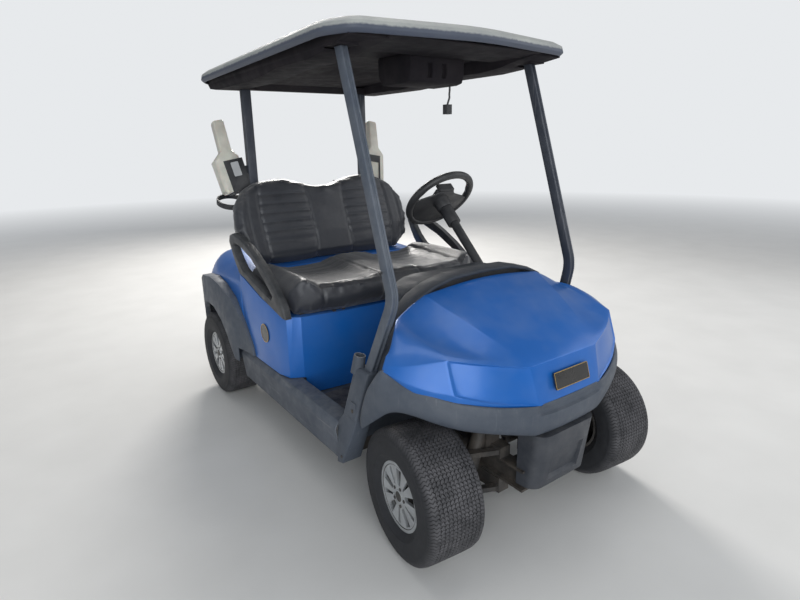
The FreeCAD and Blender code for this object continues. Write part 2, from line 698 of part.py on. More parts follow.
# Pedals on the toe board
pedal_pieces = []
for x, width in ((250.0, 54.0), (360.0, 44.0)):
    foot = box(x - width, x, -612, -604, 360, 470)
    foot.rotate(vector(x, -608, 360), vector(1, 0, 0), 22)
    stem = box(x - width / 2 - 8, x - width / 2 + 8, -655, -604, 386, 400)
    pedal_pieces.append(foot.fuse(stem).cut(floor).cut(mat))
pedal_pieces = [max(piece.Solids, key=lambda solid: solid.Volume) for piece in pedal_pieces]
save("pedals", Part.makeCompound(pedal_pieces))

# Steering column and wheel, leaning back towards the driver

column_cover = cylinder(tuple(column_top - column_up * 90.0), tuple(column_up), 32.0, 90.0)
save("steering_column", column.fuse(column_cover))


def along_column(shape):
    """Moves a piece drawn about the Z axis, with the driver at +Z, onto the column."""
    placed = shape.copy()
    placed.rotate(vector(0, 0, 0), vector(1, 0, 0), -column_lean)
    placed.translate(hub_point)
    return placed


wheel_rim = Part.makeTorus(wheel_rim_radius - wheel_rim_section, wheel_rim_section)
wheel_rim.rotate(vector(0, 0, 0), vector(0, 0, 1), 45)
wheel_hub = cylinder((0, 0, -61.5), (0, 0, 1), 40.0, 62.0)
pad = box(-52, 52, -62, 70, -8, 12)
plate_line = [(150.0, -12.0), (60.0, -44.0), (44.0, -62.0), (-44.0, -62.0), (-60.0, -44.0), (-150.0, -12.0),
              (-152.0, 30.0), (-104.0, 116.0), (-40.0, 150.0), (40.0, 150.0), (104.0, 116.0), (152.0, 30.0)]
spokes = [prism_z(plate_line, -14, -4)]
clip_board = box(-44, 44, -76, -58, -10, 30)
steering_wheel = wheel_rim.fuse([wheel_hub, pad, clip_board] + spokes)
save("steering_wheel", along_column(steering_wheel))

# Rear body: a hollow tub with wheel arches, open over the batteries and the bag well

body_top_line = [(seat_front_y - 42, seat_deck_z), (seat_front_y + 10, 650.0), (105.0, 690.0),
                 (281.0, 740.0), (340.0, 752.0), (400.0, 760.0)]
body_bottom_z = 372.0
# Half plan of the body's front half: x, y
body_plan = [(0.0, -165.0), (300.0, -158.0), (body_half_width - 76, -140.0), (body_half_width - 22, -110.0),
             (body_half_width - 4, -40.0), (body_half_width, 200.0), (body_half_width, 400.0)]
# Sections of the rear half: y, height on the centre line, then from the top's edge outwards and down
# how far inside the body's half width and how high
body_table = [
    (340.0, 752, [(126, 752), (50, 746), (14, 726), (1, 690), (0, 610), (0, body_bottom_z)]),
    (640.0, 786, [(156, 784), (86, 772), (32, 736), (6, 682), (-4, 600), (-4, body_bottom_z)]),
    (800.0, 792, [(166, 790), (96, 776), (45, 736), (16, 676), (0, 590), (0, body_bottom_z)]),
    (940.0, 780, [(186, 778), (116, 764), (66, 716), (32, 642), (11, 560), (10, body_bottom_z)]),
    (1050.0, 722, [(226, 716), (156, 690), (111, 640), (76, 572), (51, 490), (46, body_bottom_z)]),
    (tail_y, 566, [(306, 560), (226, 544), (186, 512), (164, 480), (156, 440), (156, body_bottom_z)]),
]
body_sections = [(y, [(0.0, crown)] + [(body_half_width - inside, z) for inside, z in edge])
                 for y, crown, edge in body_table]
seat_well_half = 510.0
seat_well_rear_y = 345.0
seat_well_z = 645.0


def body_solid(inset):
    """The body's outside as a solid, or the hollow in it at this inset."""
    shrink = 1.0 - inset / body_half_width
    front_end = body_plan[-1][1]
    plan = both_sides([(x * shrink, y + (inset if y < 0 else 0)) for x, y in body_plan])
    side = [(y - (inset if y > 0 else -inset), z - inset) for y, z in body_top_line[:-1]]
    side += [(front_end, body_top_line[-1][1] - inset), (front_end, body_bottom_z - 5 * inset),
             (seat_front_y - 42 + inset, body_bottom_z - 5 * inset)]
    front = prism_z(plan, body_bottom_z - 5 * inset, 900.0).common(prism_x(side, -700, 700))
    front = front.common(box(-700, 700, -300, body_sections[0][0] + 0.01, 200, 900))
    wires = []
    for y, half in body_sections:
        section = [(x * shrink, z - (inset if z > body_bottom_z else 5 * inset)) for x, z in half]
        points = both_sides(section)
        depth = y - inset if y == tail_y else y
        wires.append(Part.makePolygon([vector(x, depth, z) for x, z in points] +
                                      [vector(points[0][0], depth, points[0][1])]))
    whole = front.fuse(Part.makeLoft(wires, True, True))
    return whole.cut(box(-seat_well_half - inset, seat_well_half + inset, -300, seat_well_rear_y + inset,
                         seat_well_z - inset, 900))


# Blue above, grey wheel-arch trim below: the line between them, seen from the side
arch_trim_line = [(205.0, 300.0), (239.0, 418.0), (318.0, 520.0), (422.0, 622.0), (550.0, 668.0),
                  (685.0, 682.0), (840.0, 664.0), (970.0, 600.0), (1060.0, 500.0), (1100.0, 380.0),
                  (1100.0, 300.0)]
arch_line = [(352.0, 215.0), (415.0, 268.0), (491.0, 405.0), (570.0, 474.0), (670.0, 521.0), (770.0, 528.0),
             (869.0, 500.0), (960.0, 440.0), (1030.0, 350.0), (1062.0, 300.0)]
trim_inner_x = body_half_width - 86.0
beyond_x = body_half_width + 144.0
arch_hole = prism_x(arch_trim_line, trim_inner_x, beyond_x)
rear_body = body_solid(0.0).cut(body_solid(panel_wall))
# Lower front skirt between the rockers, down to the mat
skirt_half = floor_half - 6.0
skirt_z = floor_z + floor_thickness + 4.3
skirt_line = [(-skirt_half, -139.0), (-300.0, -154.0), (0.0, -161.0), (300.0, -154.0), (skirt_half, -139.0)]
skirt = prism_z(skirt_line + [(x, y + panel_wall) for x, y in reversed(skirt_line)], skirt_z, 640.0)
rear_body = rear_body.fuse(skirt)
rear_body = rear_body.cut(arch_hole).cut(mirrored(arch_hole))
well_opening_half = 360.0
battery_hatch = box(-450, 450, -90, 330, 560, 900)
bag_opening = box(-well_opening_half, well_opening_half, 700, 1090, 430, 900)
rear_body = rear_body.cut(battery_hatch).cut(bag_opening)
save("rear_body", rear_body)

# Rear wheel-arch trims: they stand out over the tyres and run back into the tail
rocker_space = box(400, beyond_x, rocker_front_y, rocker_rear_y + 0.3, 190, rocker_top_z + 6)
trim_wall = 5.0
# The trim covers the tyre, and stands out from the body also where the track is narrow
arch_outer_x = max(rear_track / 2 + tyre_width / 2 + 2, body_half_width + 14)
# Outer edge of the trim seen from above: x, y
trim_plan = [(trim_inner_x - 40, 180.0), (body_half_width + 10, 180.0), (body_half_width + 14, 300.0),
             (arch_outer_x, 480.0), (arch_outer_x, 780.0), (arch_outer_x - 19, 910.0),
             (body_half_width - 6, 1020.0), (body_half_width - 44, 1110.0), (trim_inner_x - 40, 1110.0)]


def trim_block(inset):
    """The trim's outside as a solid, or the hollow behind it at this inset."""
    plan = [(x - inset if x > body_half_width - 60 else x, y) for x, y in trim_plan]
    line = [(y, z - 1.2 * inset) for y, z in arch_trim_line]
    return prism_x(line, trim_inner_x - 70, beyond_x).common(prism_z(plan, 200.0, 800.0))


below_arch = arch_line + [(1062.0, 100.0), (352.0, 100.0)]
for side, name in ((-1, "right"), (1, "left")):
    shell = trim_block(0.0).cut(trim_block(trim_wall).cut(prism_x(
        [(y, z + trim_wall) for y, z in arch_line] + [(1070.0, 100.0), (345.0, 100.0)], 300, beyond_x)))
    shell = shell.cut(prism_x(below_arch, 300, beyond_x)).cut(body_solid(0.0)).cut(rocker_space)
    shell = max(shell.Solids, key=lambda solid: solid.Volume)
    save("rear_arch_" + name, shell if side > 0 else mirrored(shell))

# Bag well liner and rear bumper
well_half = well_opening_half - seat_gap
well_front_y = 700.0 + seat_gap
well_rear_y = 1090.0 - seat_gap
liner_outer = prism_x([(well_front_y, 420), (well_rear_y, 420), (well_rear_y, 618), (1050, 690), (940, 760),
                       (well_front_y, 776)], -well_half, well_half)
liner_inner = prism_x([(well_front_y + 5, 425), (well_rear_y - 5, 425), (well_rear_y - 5, 900),
                       (well_front_y + 5, 900)], -well_half + 5, well_half - 5)
save("bag_well", liner_outer.cut(liner_inner))

# Half plan of the rear bumper round the tail: x, y
arch_rear_y = arch_trim_line[-1][0]
bumper_plan = [(0.0, tail_y - 8), (380.0, tail_y - 20), (440.0, arch_rear_y + seam_gap),
               (508.0, arch_rear_y + seam_gap), (500.0, 1116.0), (392.0, tail_y + 10), (0.0, tail_y + 25)]
bumper_body = prism_z(bumper_plan, 360.0, 470.0)
bumper_body = bumper_body.fuse(mirrored(bumper_body)).cut(body_solid(0.0))
# Brackets back to the frame's last cross member
for side in (-1, 1):
    x0, x1 = sorted((side * (rail_x - 25), side * (rail_x + 25)))
    bracket = box(x0, x1, rail_rear_y + 0.3, tail_y + 10, 340, body_bottom_z - 0.3)
    bumper_body = bumper_body.fuse(bracket)
save("rear_bumper", bumper_body)

# Battery pack, one plain block in its tray on the rails
save("battery_pack", box(-400, 400, -70, 320, floor_z, 548))

# Seat: cushion on a pan hinged along its front edge, backrest on the rear struts

hinge_y, hinge_z = -140.0, 651.5
hinge_pin_radius = 3.0
hinge_barrel_radius = 6.0
hinge_x = 300.0
cushion_half = 508.0
# Side section of the cushion: y, z
cushion_side = [(-122.0, 650.0), (-126.0, 661.0), (-205.0, 666.0), (-232.0, 690.0), (-240.0, 725.0),
                (-228.0, 762.0), (-190.0, 784.0), (-120.0, 796.0), (90.0, 796.0), (326.0, 780.0),
                (338.0, 740.0), (334.0, 652.0), (330.0, 650.0)]
# Front section with the bolsters: x, z
cushion_front = [(0.0, 774.0), (45.0, 784.0), (95.0, 784.0), (160.0, 766.0), (330.0, 764.0), (395.0, 772.0),
                 (440.0, 790.0), (482.0, 790.0), (506.0, 764.0), (cushion_half, 650.0)]
# Front edge seen from above: x, y
cushion_plan = [(0.0, -236.0), (100.0, -234.0), (300.0, -208.0), (440.0, -168.0), (cushion_half, -124.0),
                (cushion_half, 338.0)]
cushion = prism_x(cushion_side, -cushion_half, cushion_half)
cushion = cushion.common(prism_y(both_sides(cushion_front), -300, 400))
cushion = cushion.common(prism_z(both_sides(cushion_plan), 600, 900))
save("seat_cushion", cushion)

pan_low_z, pan_high_z = seat_well_z + seat_gap, 649.7
seat_pan = box(-470, 470, -110, 334, pan_low_z, pan_high_z).cut(box(-380, 380, -60, 280, 600, 700))
hinge_parts = []
for side in (-1, 1):
    barrel = cylinder((side * hinge_x - 14, hinge_y, hinge_z), (1, 0, 0), hinge_barrel_radius, 28.0)
    tongue = box(side * hinge_x - 14, side * hinge_x + 14, hinge_y, -109, pan_low_z + 0.4, pan_high_z)
    bore = cylinder((side * hinge_x - 15, hinge_y, hinge_z), (1, 0, 0), hinge_pin_radius + running_gap, 30.0)
    seat_pan = seat_pan.fuse([barrel, tongue]).cut(bore)
    pin = cylinder((side * hinge_x - 32, hinge_y, hinge_z), (1, 0, 0), hinge_pin_radius, 64.0)
    for lug_x in (side * hinge_x - 30, side * hinge_x + 16):
        lug = cylinder((lug_x, hinge_y, hinge_z), (1, 0, 0), hinge_barrel_radius, 14.0)
        foot = box(lug_x, lug_x + 14, hinge_y - 9, hinge_y + 9, seat_well_z - 10, seat_well_z + 4)
        pin = pin.fuse([lug, foot.cut(body_solid(0.0))])
    hinge_parts.append(pin)
save("seat_pan", seat_pan)
save("seat_hinges", Part.makeCompound(hinge_parts))

back_half = [(0.0, 796.0), (400.0, 800.0), (486.0, 850.0), (512.0, 935.0), (500.0, 1040.0), (440.0, 1120.0),
             (360.0, 1160.0), (228.0, 1172.0), (120.0, 1150.0), (0.0, 1118.0)]
back_lean = math.atan2(530.0 - 437.0, 1169.0 - 935.0)
back_thickness = 86.0


outline = [(-x, z) for x, z in reversed(back_half[1:-1])] + back_half
base_z = back_half[0][1]
front_points = [vector(x, 382.0 + (z - base_z) * math.tan(back_lean), z) for x, z in outline]
seat_back = Part.Face(Part.makePolygon(front_points + front_points[:1]))
seat_back = seat_back.extrude(vector(0, back_thickness, 0))
save("seat_back", seat_back)

shell_points = [vector(x * 0.97, 382.0 + back_thickness + 0.3 + 0.8 * (z - base_z) * math.tan(back_lean),
                       base_z + (z - base_z) * 0.8) for x, z in outline]
back_shell = Part.Face(Part.makePolygon(shell_points + [shell_points[0]])).extrude(vector(0, 8.0, 0))
shell_tops = []
for side in (-1, 1):
    x = side * rear_strut_x
    shell_tops.append(box(x - 20, x + 20, 500, rear_strut_y - rear_strut_depth / 2, 880, 930))
cutter = Part.Face(Part.makePolygon(shell_points + [shell_points[0]])).extrude(vector(0, -200.0, 0))
back_shell = back_shell.fuse(shell_tops).cut(cutter).cut(seat_back)
save("seat_back_shell", back_shell)

# Hip restraints: a moulded loop at each end of the seat, standing on the body's edge

restraint_x0, restraint_x1 = 522.0, 556.0
restraint_edge = 9.0
# Outer outline and opening, seen from the side: y, z
restraint_outer = [(-142.0, 646.0), (-126.0, 690.0), (-104.0, 718.0), (-36.0, 772.0), (40.0, 824.0),
                   (128.0, 870.0), (205.0, 903.0), (295.0, 928.0), (396.0, 940.0), (440.0, 928.0),
                   (452.0, 900.0), (424.0, 850.0), (392.0, 800.0), (352.0, 756.0), (318.0, 747.8)]
restraint_base = [(281.0, 740.3), (105.0, 690.3), (seat_front_y + 10, 650.3)]
restraint_hole = [(-30.0, 728.0), (60.0, 790.0), (180.0, 848.0), (300.0, 888.0), (376.0, 896.0),
                  (398.0, 880.0), (352.0, 826.0), (296.0, 782.0), (200.0, 758.0), (80.0, 726.0),
                  (-10.0, 706.0)]


def outline_of(line, shrink):
    """The same outline, moved inwards everywhere by this much."""
    middle_y = sum(y for y, _ in line) / len(line)
    middle_z = sum(z for _, z in line) / len(line)
    moved = []
    for y, z in line:
        reach = math.hypot(y - middle_y, z - middle_z)
        moved.append((y + (middle_y - y) * shrink / reach, z + (middle_z - z) * shrink / reach))
    return moved


for side, name in ((-1, "right"), (1, "left")):
    whole = restraint_outer + restraint_base
    loop = prism_x(whole, restraint_x0, restraint_x1 - restraint_edge)
    loop = loop.cut(prism_x(restraint_hole, 500, 600))
    wires = []
    for x, shrink in ((restraint_x1 - restraint_edge, 0.0), (restraint_x1, restraint_edge)):
        outline = outline_of(whole, shrink)
        wires.append(Part.makePolygon([vector(x, y, z) for y, z in outline + outline[:1]]))
    crown = Part.makeLoft(wires, True, True)
    wires = []
    for x, shrink in ((restraint_x1 - restraint_edge - 1, 0.0), (restraint_x1 + 1, -restraint_edge)):
        outline = outline_of(restraint_hole, shrink)
        wires.append(Part.makePolygon([vector(x, y, z) for y, z in outline + outline[:1]]))
    loop = loop.fuse(crown.cut(Part.makeLoft(wires, True, True)))
    save("hip_restraint_" + name, loop if side > 0 else mirrored(loop))

# Canopy struts

# The moulded base that each front strut stands in, seen from the side: y, z
strut_base_line = [(rocker_front_y - 0.3, 206.0), (-598.0, 216.0), (-650.0, 330.0), (-686.0, strut_foot[2]),
                   (-606.0, strut_foot[2]), (rocker_front_y - 0.3, rocker_top_z + 6)]
# What its outer face leans away from: x, z
base_outer_x = body_half_width + 10.0
base_taper = [(base_outer_x + 4, 190.0), (base_outer_x, 260.0), (base_outer_x - 18, strut_foot[2] + 1),
              (base_outer_x + 34, strut_foot[2] + 1), (base_outer_x + 34, 190.0)]
for side, name in ((-1, "right"), (1, "left")):
    save("front_strut_" + name, front_strut(side, 0.0, 5.0))
    base_side = prism_x(strut_base_line, outrigger_x + 0.3, base_outer_x)
    base_side = base_side.cut(prism_y(base_taper, -800, -400))
    save("strut_base_" + name, base_side if side > 0 else mirrored(base_side))

rear_top_z = 1603.0
rear_strut_foot_z = 776.0
for side, name in ((-1, "right"), (1, "left")):
    half = rear_strut_depth / 2
    strut = box(side * rear_strut_x - rear_strut_width / 2, side * rear_strut_x + rear_strut_width / 2,
                rear_strut_y - half, rear_strut_y + half, rear_strut_foot_z, rear_top_z)
    save("rear_strut_" + name, strut.cut(body_solid(0.0)))

# Bag rack behind the rear struts
bag_rack_z = 1000.0
rack_start_y = rear_strut_y + rear_strut_depth / 2 + 0.1
rack_points = [(rear_strut_x, rack_start_y, bag_rack_z), (rear_strut_x, 850, bag_rack_z),
               (-rear_strut_x, 850, bag_rack_z), (-rear_strut_x, rack_start_y, bag_rack_z)]
bag_rack = tube(rack_points, [60, 60], 14.0)
rest_half = rear_strut_x - rear_strut_width / 2 - 0.1
rest_bar = box(-rest_half, rest_half, rear_strut_y - 12, rear_strut_y + 12, 960, 1020)
divider = box(-12, 12, rear_strut_y, 852, 976, 1000)
save("bag_rack", bag_rack.fuse([rest_bar, divider]))

# Canopy: a domed shell with a rolled rim

# Corners of the rim seen from above, and their radii
roof_corners = [(-490, roof_front_y + 60), (0, roof_front_y - 6), (490, roof_front_y + 60),
                (roof_half_width, -545), (roof_half_width - 8, 690), (470, roof_rear_y),
                (-470, roof_rear_y), (-roof_half_width + 8, 690), (-roof_half_width, -545)]
roof_corner_radii = [70, 900, 70, 140, 160, 130, 130, 160, 140]
# Levels of the dome: distance in from the rim's edge, height over the rim's lower edge
roof_levels = [(10.0, 0.0), (0.0, 12.0), (4.0, 34.0), (26.0, 50.0), (110.0, 68.0), (300.0, roof_top_rise)]


def roof_level(inset, z):
    points = []
    for x, y in roof_corners:
        points.append((x - math.copysign(inset, x) if x else 0.0, y - math.copysign(inset, y - 40)))
    radii = [r * (1.0 - inset / roof_half_width) for r in roof_corner_radii]
    return rounded_ring(points, radii, z)


def dome(inset, reach=1.0):
    """The canopy's outside as a solid, or the hollow under it at this inset, which reaches lower."""
    rings = []
    for distance, height in roof_levels:
        low = -reach if inset and not height else height - (inset if height else 0.0)
        rings.append(roof_level(distance + inset, roof_rim_z + low))
    solid = faceted(rings)
    solid.rotate(vector(0, 0, roof_rim_z), vector(1, 0, 0), roof_tilt)
    return solid


canopy = dome(0.0).cut(dome(roof_wall))
save("roof", canopy)

# Dark underside: two hollow beams along the sides and a stepped panel between them
liner_wall = 5.0
# Underside of the beams: y, z
beam_line = [(-622.0, 1654.0), (-500.0, 1640.0), (-440.0, 1628.0), (-330.0, 1620.0), (-60.0, 1620.0),
             (60.0, 1610.0), (250.0, 1600.0), (690.0, 1602.0), (768.0, 1612.0)]
# Section of a beam: x, height over the underside's lowest line
beam_section = [(322.0, 1800.0), (346.0, 1590.0), (458.0, 1590.0), (486.0, 1644.0), (488.0, 1800.0)]
# Underside of the middle panel: y, z
panel_line = [(-652.0, 1659.0), (-560.0, 1653.0), (-400.0, 1652.0), (-376.0, 1668.0), (200.0, 1668.0),
              (260.0, 1650.0), (690.0, 1640.0), (726.0, 1612.0), (766.0, 1612.0)]


def beam(inset):
    """One side's beam as a solid, or the hollow in it at this inset."""
    line = [(y, z + inset) for y, z in beam_line]
    low, high = line[0][0] + inset, line[-1][0] - inset
    line = [(low, line[0][1])] + line[1:-1] + [(high, line[-1][1]), (high, 1790.0), (low, 1790.0)]
    middle_x = 0.5 * (beam_section[0][0] + beam_section[-1][0])
    section = [(x + math.copysign(inset, middle_x - x), z + (inset if z < 1600 else 0))
               for x, z in beam_section]
    return prism_x(line, 300, 500).common(prism_y(section, -700, 800))


one_beam = beam(0.0).cut(beam(liner_wall))
for x, y, z in ((front_strut_x - 1, strut_top[1], strut_top[2]), (rear_strut_x, rear_strut_y, rear_top_z)):
    pad = box(x - 40, x + 40, y - 44, y + 44, z + seat_gap, z + 30)
    one_beam = one_beam.fuse(pad).cut(box(x - 40, x + 40, y - 44, y + 44, 1500, z + seat_gap))
panel = prism_x(sheet(panel_line, liner_wall), -350, 350).cut(beam(0.0)).cut(mirrored(beam(0.0)))
liner = panel.fuse([one_beam, mirrored(one_beam)]).common(dome(roof_wall + 2 * seam_gap, 120.0))
save("roof_liner", liner.cut(canopy))

# Overhead console under the canopy, with the lead and its block connector
console_front_y = -372.0
console_rear_y = -150.0
console = prism_x([(console_front_y, 1600), (console_front_y + 10, 1568), (console_front_y + 40, 1562),
                   (console_rear_y - 30, 1562), (console_rear_y, 1600), (console_rear_y, 1667.7),
                   (console_front_y, 1667.7)], -67, 205)
for x in (20, 92):
    console = console.cut(box(x, x + 22, console_front_y - 20, console_front_y + 20, 1584, 1636))
save("overhead_console", console)
lead_x, lead_y = 186.0, -305.0
lead_top_z = 1561.9
lead_points = [(lead_x, lead_y, lead_top_z), (lead_x, lead_y, 1528), (lead_x - 8, lead_y + 4, 1492)]
lead = tube(lead_points, [60], 4.0)
save("console_lead", lead)
save("lead_connector", box(lead_x - 22, lead_x + 6, lead_y - 9, lead_y + 17, 1452, 1490.9))

# Sand bottles in holders on the rear struts, leaning back and outwards, each over a tilted ring
holder_lean_back = 14.0
holder_lean_out = 10.0
holder_z = 1200.0
holder_x = rear_strut_x + rear_strut_width / 2 + 0.3


def leaning(shape):
    placed = shape.copy()
    placed.rotate(vector(0, 0, 0), vector(1, 0, 0), -holder_lean_back)
    placed.rotate(vector(0, 0, 0), vector(0, 1, 0), holder_lean_out)
    placed.translate(vector(holder_x, rear_strut_y, holder_z))
    return placed


def closed(points, z):
    return Part.makePolygon([vector(x, y, z) for x, y in points + points[:1]])


# Outlines of the bottle and its neck, square to its own axis: x, y
bottle_plan = [(24.0, 2.0), (126.0, 2.0), (138.0, 14.0), (138.0, 84.0), (126.0, 96.0), (24.0, 96.0),
               (12.0, 84.0), (12.0, 14.0)]
neck_plan = [(44.0, 0.0), (94.0, 0.0), (98.0, 6.0), (98.0, 48.0), (94.0, 54.0), (44.0, 54.0), (40.0, 48.0),
             (40.0, 6.0)]
bottle_base_z = -72.0
# Levels of the bottle: which outline, height, shift along x, shrink about its middle
bottle_levels = [(bottle_plan, bottle_base_z, 0.0, 0.86), (bottle_plan, bottle_base_z + 16, 0.0, 1.0),
                 (bottle_plan, 98.0, 0.0, 1.0), (neck_plan, 134.0, 0.0, 1.0),
                 (neck_plan, 276.0, -12.0, 0.95), (neck_plan, 286.0, -13.0, 0.8)]


def bottle():
    wires = []
    for plan, z, shift, share in bottle_levels:
        x_middle = 0.5 * (plan[0][0] + plan[1][0])
        y_middle = 0.5 * (plan[0][1] + plan[5][1])
        wires.append(closed([(x_middle + (x - x_middle) * share + shift, y_middle + (y - y_middle) * share)
                             for x, y in plan], z))
    return Part.makeLoft(wires, True, True)


holder_gap = 0.4
strut_block = box(rear_strut_x - 40, holder_x, 500, 800, 900, 1500)
ring_centre = vector(holder_x + 84, rear_strut_y + 48, 1058)
ring_tilt = 20.0
ring_radius = 74.0
ring_wall = 7.0
ring_height = 26.0
ring = cylinder((0, 0, -ring_height / 2), (0, 0, 1), ring_radius, ring_height)
ring = ring.cut(cylinder((0, 0, -ring_height), (0, 0, 1), ring_radius - ring_wall, 2 * ring_height))
ring.rotate(vector(0, 0, 0), vector(1, 0, 0), ring_tilt)
ring.translate(ring_centre)
lug = box(holder_x - 0.2, holder_x + 16, rear_strut_y - 14, rear_strut_y + 60, 1046, 1070)
for side, name in ((-1, "right"), (1, "left")):
    front_y = 2.0 - holder_gap
    tray = box(4, 104, front_y - 6, 92, bottle_base_z - holder_gap - 6, bottle_base_z - holder_gap)
    inner_wall = box(4, 11, front_y - 6, 92, bottle_base_z - 6, 40)
    face = [box(4, 102, front_y - 6, front_y, bottle_base_z - 6, 84)]
    if side > 0:
        face = [box(4, 102, front_y - 6, front_y, 44, 84)]
        face += [box(x, x + 8, front_y - 6, front_y, bottle_base_z - 6, 60) for x in (4, 94)]
    mounting = box(-12, 6, -4, 34, -50, 40)
    holder = leaning(tray.fuse([inner_wall, mounting] + face)).cut(strut_block)
    drop = box(holder_x - 0.2, holder_x + 8, rear_strut_y - 14, rear_strut_y + 20, 1046, holder_z)
    holder = holder.fuse([drop, lug, ring]).cut(leaning(bottle()))
    body = leaning(bottle()).cut(strut_block)
    holder = max(holder.Solids, key=lambda solid: solid.Volume)
    save("sand_bottle_holder_" + name, holder if side > 0 else mirrored(holder))
    save("sand_bottle_" + name, body if side > 0 else mirrored(body))

# Blank nameplate on the nose
plate_solid = prism_x([(-1130, 570), (-1157, 570), (-1139, 642), (-1110, 642)], -88, 88)
save("nameplate", plate_solid.cut(drafted_nose(-seat_gap, cowl_base_z, 900.0)))
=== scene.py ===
import bpy, bmesh, json, math
from mathutils import Matrix, Vector


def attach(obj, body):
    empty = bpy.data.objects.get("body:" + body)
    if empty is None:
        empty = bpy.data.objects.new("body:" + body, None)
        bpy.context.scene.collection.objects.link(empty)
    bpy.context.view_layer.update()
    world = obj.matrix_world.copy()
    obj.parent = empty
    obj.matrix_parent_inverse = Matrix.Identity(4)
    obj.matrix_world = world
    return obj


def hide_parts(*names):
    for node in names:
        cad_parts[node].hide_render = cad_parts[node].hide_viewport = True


# Golf cart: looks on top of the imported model. Forward is -Y, the driver's side is +X.
# The frame is in metres, and the lists of places and sizes are in millimetres.

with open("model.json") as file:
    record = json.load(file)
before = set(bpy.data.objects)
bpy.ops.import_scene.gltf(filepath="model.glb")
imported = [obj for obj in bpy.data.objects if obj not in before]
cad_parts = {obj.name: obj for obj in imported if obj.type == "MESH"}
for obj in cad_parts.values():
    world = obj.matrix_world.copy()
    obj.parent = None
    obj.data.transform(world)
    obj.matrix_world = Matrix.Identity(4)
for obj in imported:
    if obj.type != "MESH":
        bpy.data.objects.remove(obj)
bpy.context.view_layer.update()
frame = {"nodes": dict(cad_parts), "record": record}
scene = bpy.context.scene
mm = 0.001
moved = Matrix.Translation
record = frame["record"]
bodyOfNode = {node: body for body, members in record["behaviour"]["bodies"].items() for node in members}
sides = ((-1, "Right"), (1, "Left"))


def turned(degrees, axis):
    return Matrix.Rotation(math.radians(degrees), 4, axis)


# camera at the photograph's place

camera = {"place": (-1.40035, -2.13864, 1.34399), "yaw": -0.622, "down": 0.284, "roll": -0.016,
          "lens": 24.395, "sensor": 36, "farthest": 200}


def placeCamera():
    yaw, down, roll = camera["yaw"], camera["down"], camera["roll"]
    back = Vector((math.sin(yaw) * math.cos(down), -math.cos(yaw) * math.cos(down), math.sin(down)))
    right = Vector((0, 0, 1)).cross(back).normalized()
    up = back.cross(right)
    rolledRight = math.cos(roll) * right + math.sin(roll) * up
    rolledUp = -math.sin(roll) * right + math.cos(roll) * up
    data = bpy.data.cameras.new("viewCamera")
    data.lens = camera["lens"]
    data.sensor_width = camera["sensor"]
    data.clip_end = camera["farthest"]
    holder = bpy.data.objects.new("viewCamera", data)
    scene.collection.objects.link(holder)
    turn = Matrix((rolledRight, rolledUp, back)).transposed()
    holder.matrix_world = moved(camera["place"]) @ turn.to_4x4()
    scene.camera = holder


placeCamera()
print("camera placed")


# material tools

def feed(tree, socket, value):
    if isinstance(value, bpy.types.NodeSocket):
        tree.links.new(value, socket)
    else:
        socket.default_value = value


def put(tree, kind, sockets=None, **settings):
    node = tree.nodes.new("ShaderNode" + kind)
    for key, value in settings.items():
        setattr(node, key, value)
    for key, value in (sockets or {}).items():
        feed(tree, node.inputs[key], value)
    return node


def startMaterial(name):
    material = bpy.data.materials.new(name)
    material.use_nodes = True
    tree = material.node_tree
    place = put(tree, "TexCoord").outputs["Object"]
    return material, tree, tree.nodes["Principled BSDF"], place


def setShader(tree, shader, **values):
    for key, value in values.items():
        feed(tree, shader.inputs[key.replace("_", " ")], value)


def noise(tree, place, scale, detail, roughness=0.5):
    sockets = {"Vector": place, "Scale": scale, "Detail": detail, "Roughness": roughness}
    return put(tree, "TexNoise", sockets).outputs["Fac"]


def ramp(tree, value, low, high, toLow=0.0, toHigh=1.0):
    sockets = {"Value": value, "From Min": low, "From Max": high, "To Min": toLow, "To Max": toHigh}
    return put(tree, "MapRange", sockets).outputs["Result"]


def mixColour(tree, share, first, second):
    ends = [end if isinstance(end, bpy.types.NodeSocket) else (*end, 1) for end in (first, second)]
    return put(tree, "Mix", {0: share, 6: ends[0], 7: ends[1]}, data_type="RGBA").outputs[2]


def compute(tree, operation, first, second=0.5):
    return put(tree, "Math", {0: first, 1: second}, operation=operation).outputs[0]


def times(tree, first, second):
    return compute(tree, "MULTIPLY", first, second)


def split(tree, vector):
    return put(tree, "SeparateXYZ", {"Vector": vector}).outputs


def upward(tree):
    return split(tree, put(tree, "NewGeometry").outputs["Normal"])["Z"]


def bump(tree, height, strength, distance=0.0006):
    return put(tree, "Bump", {"Height": height, "Strength": strength, "Distance": distance})


# worn surfaces: two shades in clouds, dust where they face up, streaks, fine grain and rubbed roughness

standardLook = {"cloudScale": 5, "cloudRange": (0.35, 0.68), "dust": 0.0, "dustScale": 14, "dustDetail": 9,
                "dustRange": (0.38, 0.72), "dustFrom": -0.4, "dustColour": (0.36, 0.34, 0.31), "streaks": 0.0,
                "streakStretch": (60, 60, 3), "streakScale": 1.6, "streakRange": (0.62, 0.74),
                "streakColour": (0.5, 0.5, 0.5), "rubScale": 22, "rubRange": (0.3, 0.7), "grain": 0.25,
                "grainScale": 700, "metal": 0.0, "coat": 0.0, "coatRough": 0.1, "shine": 0.5}


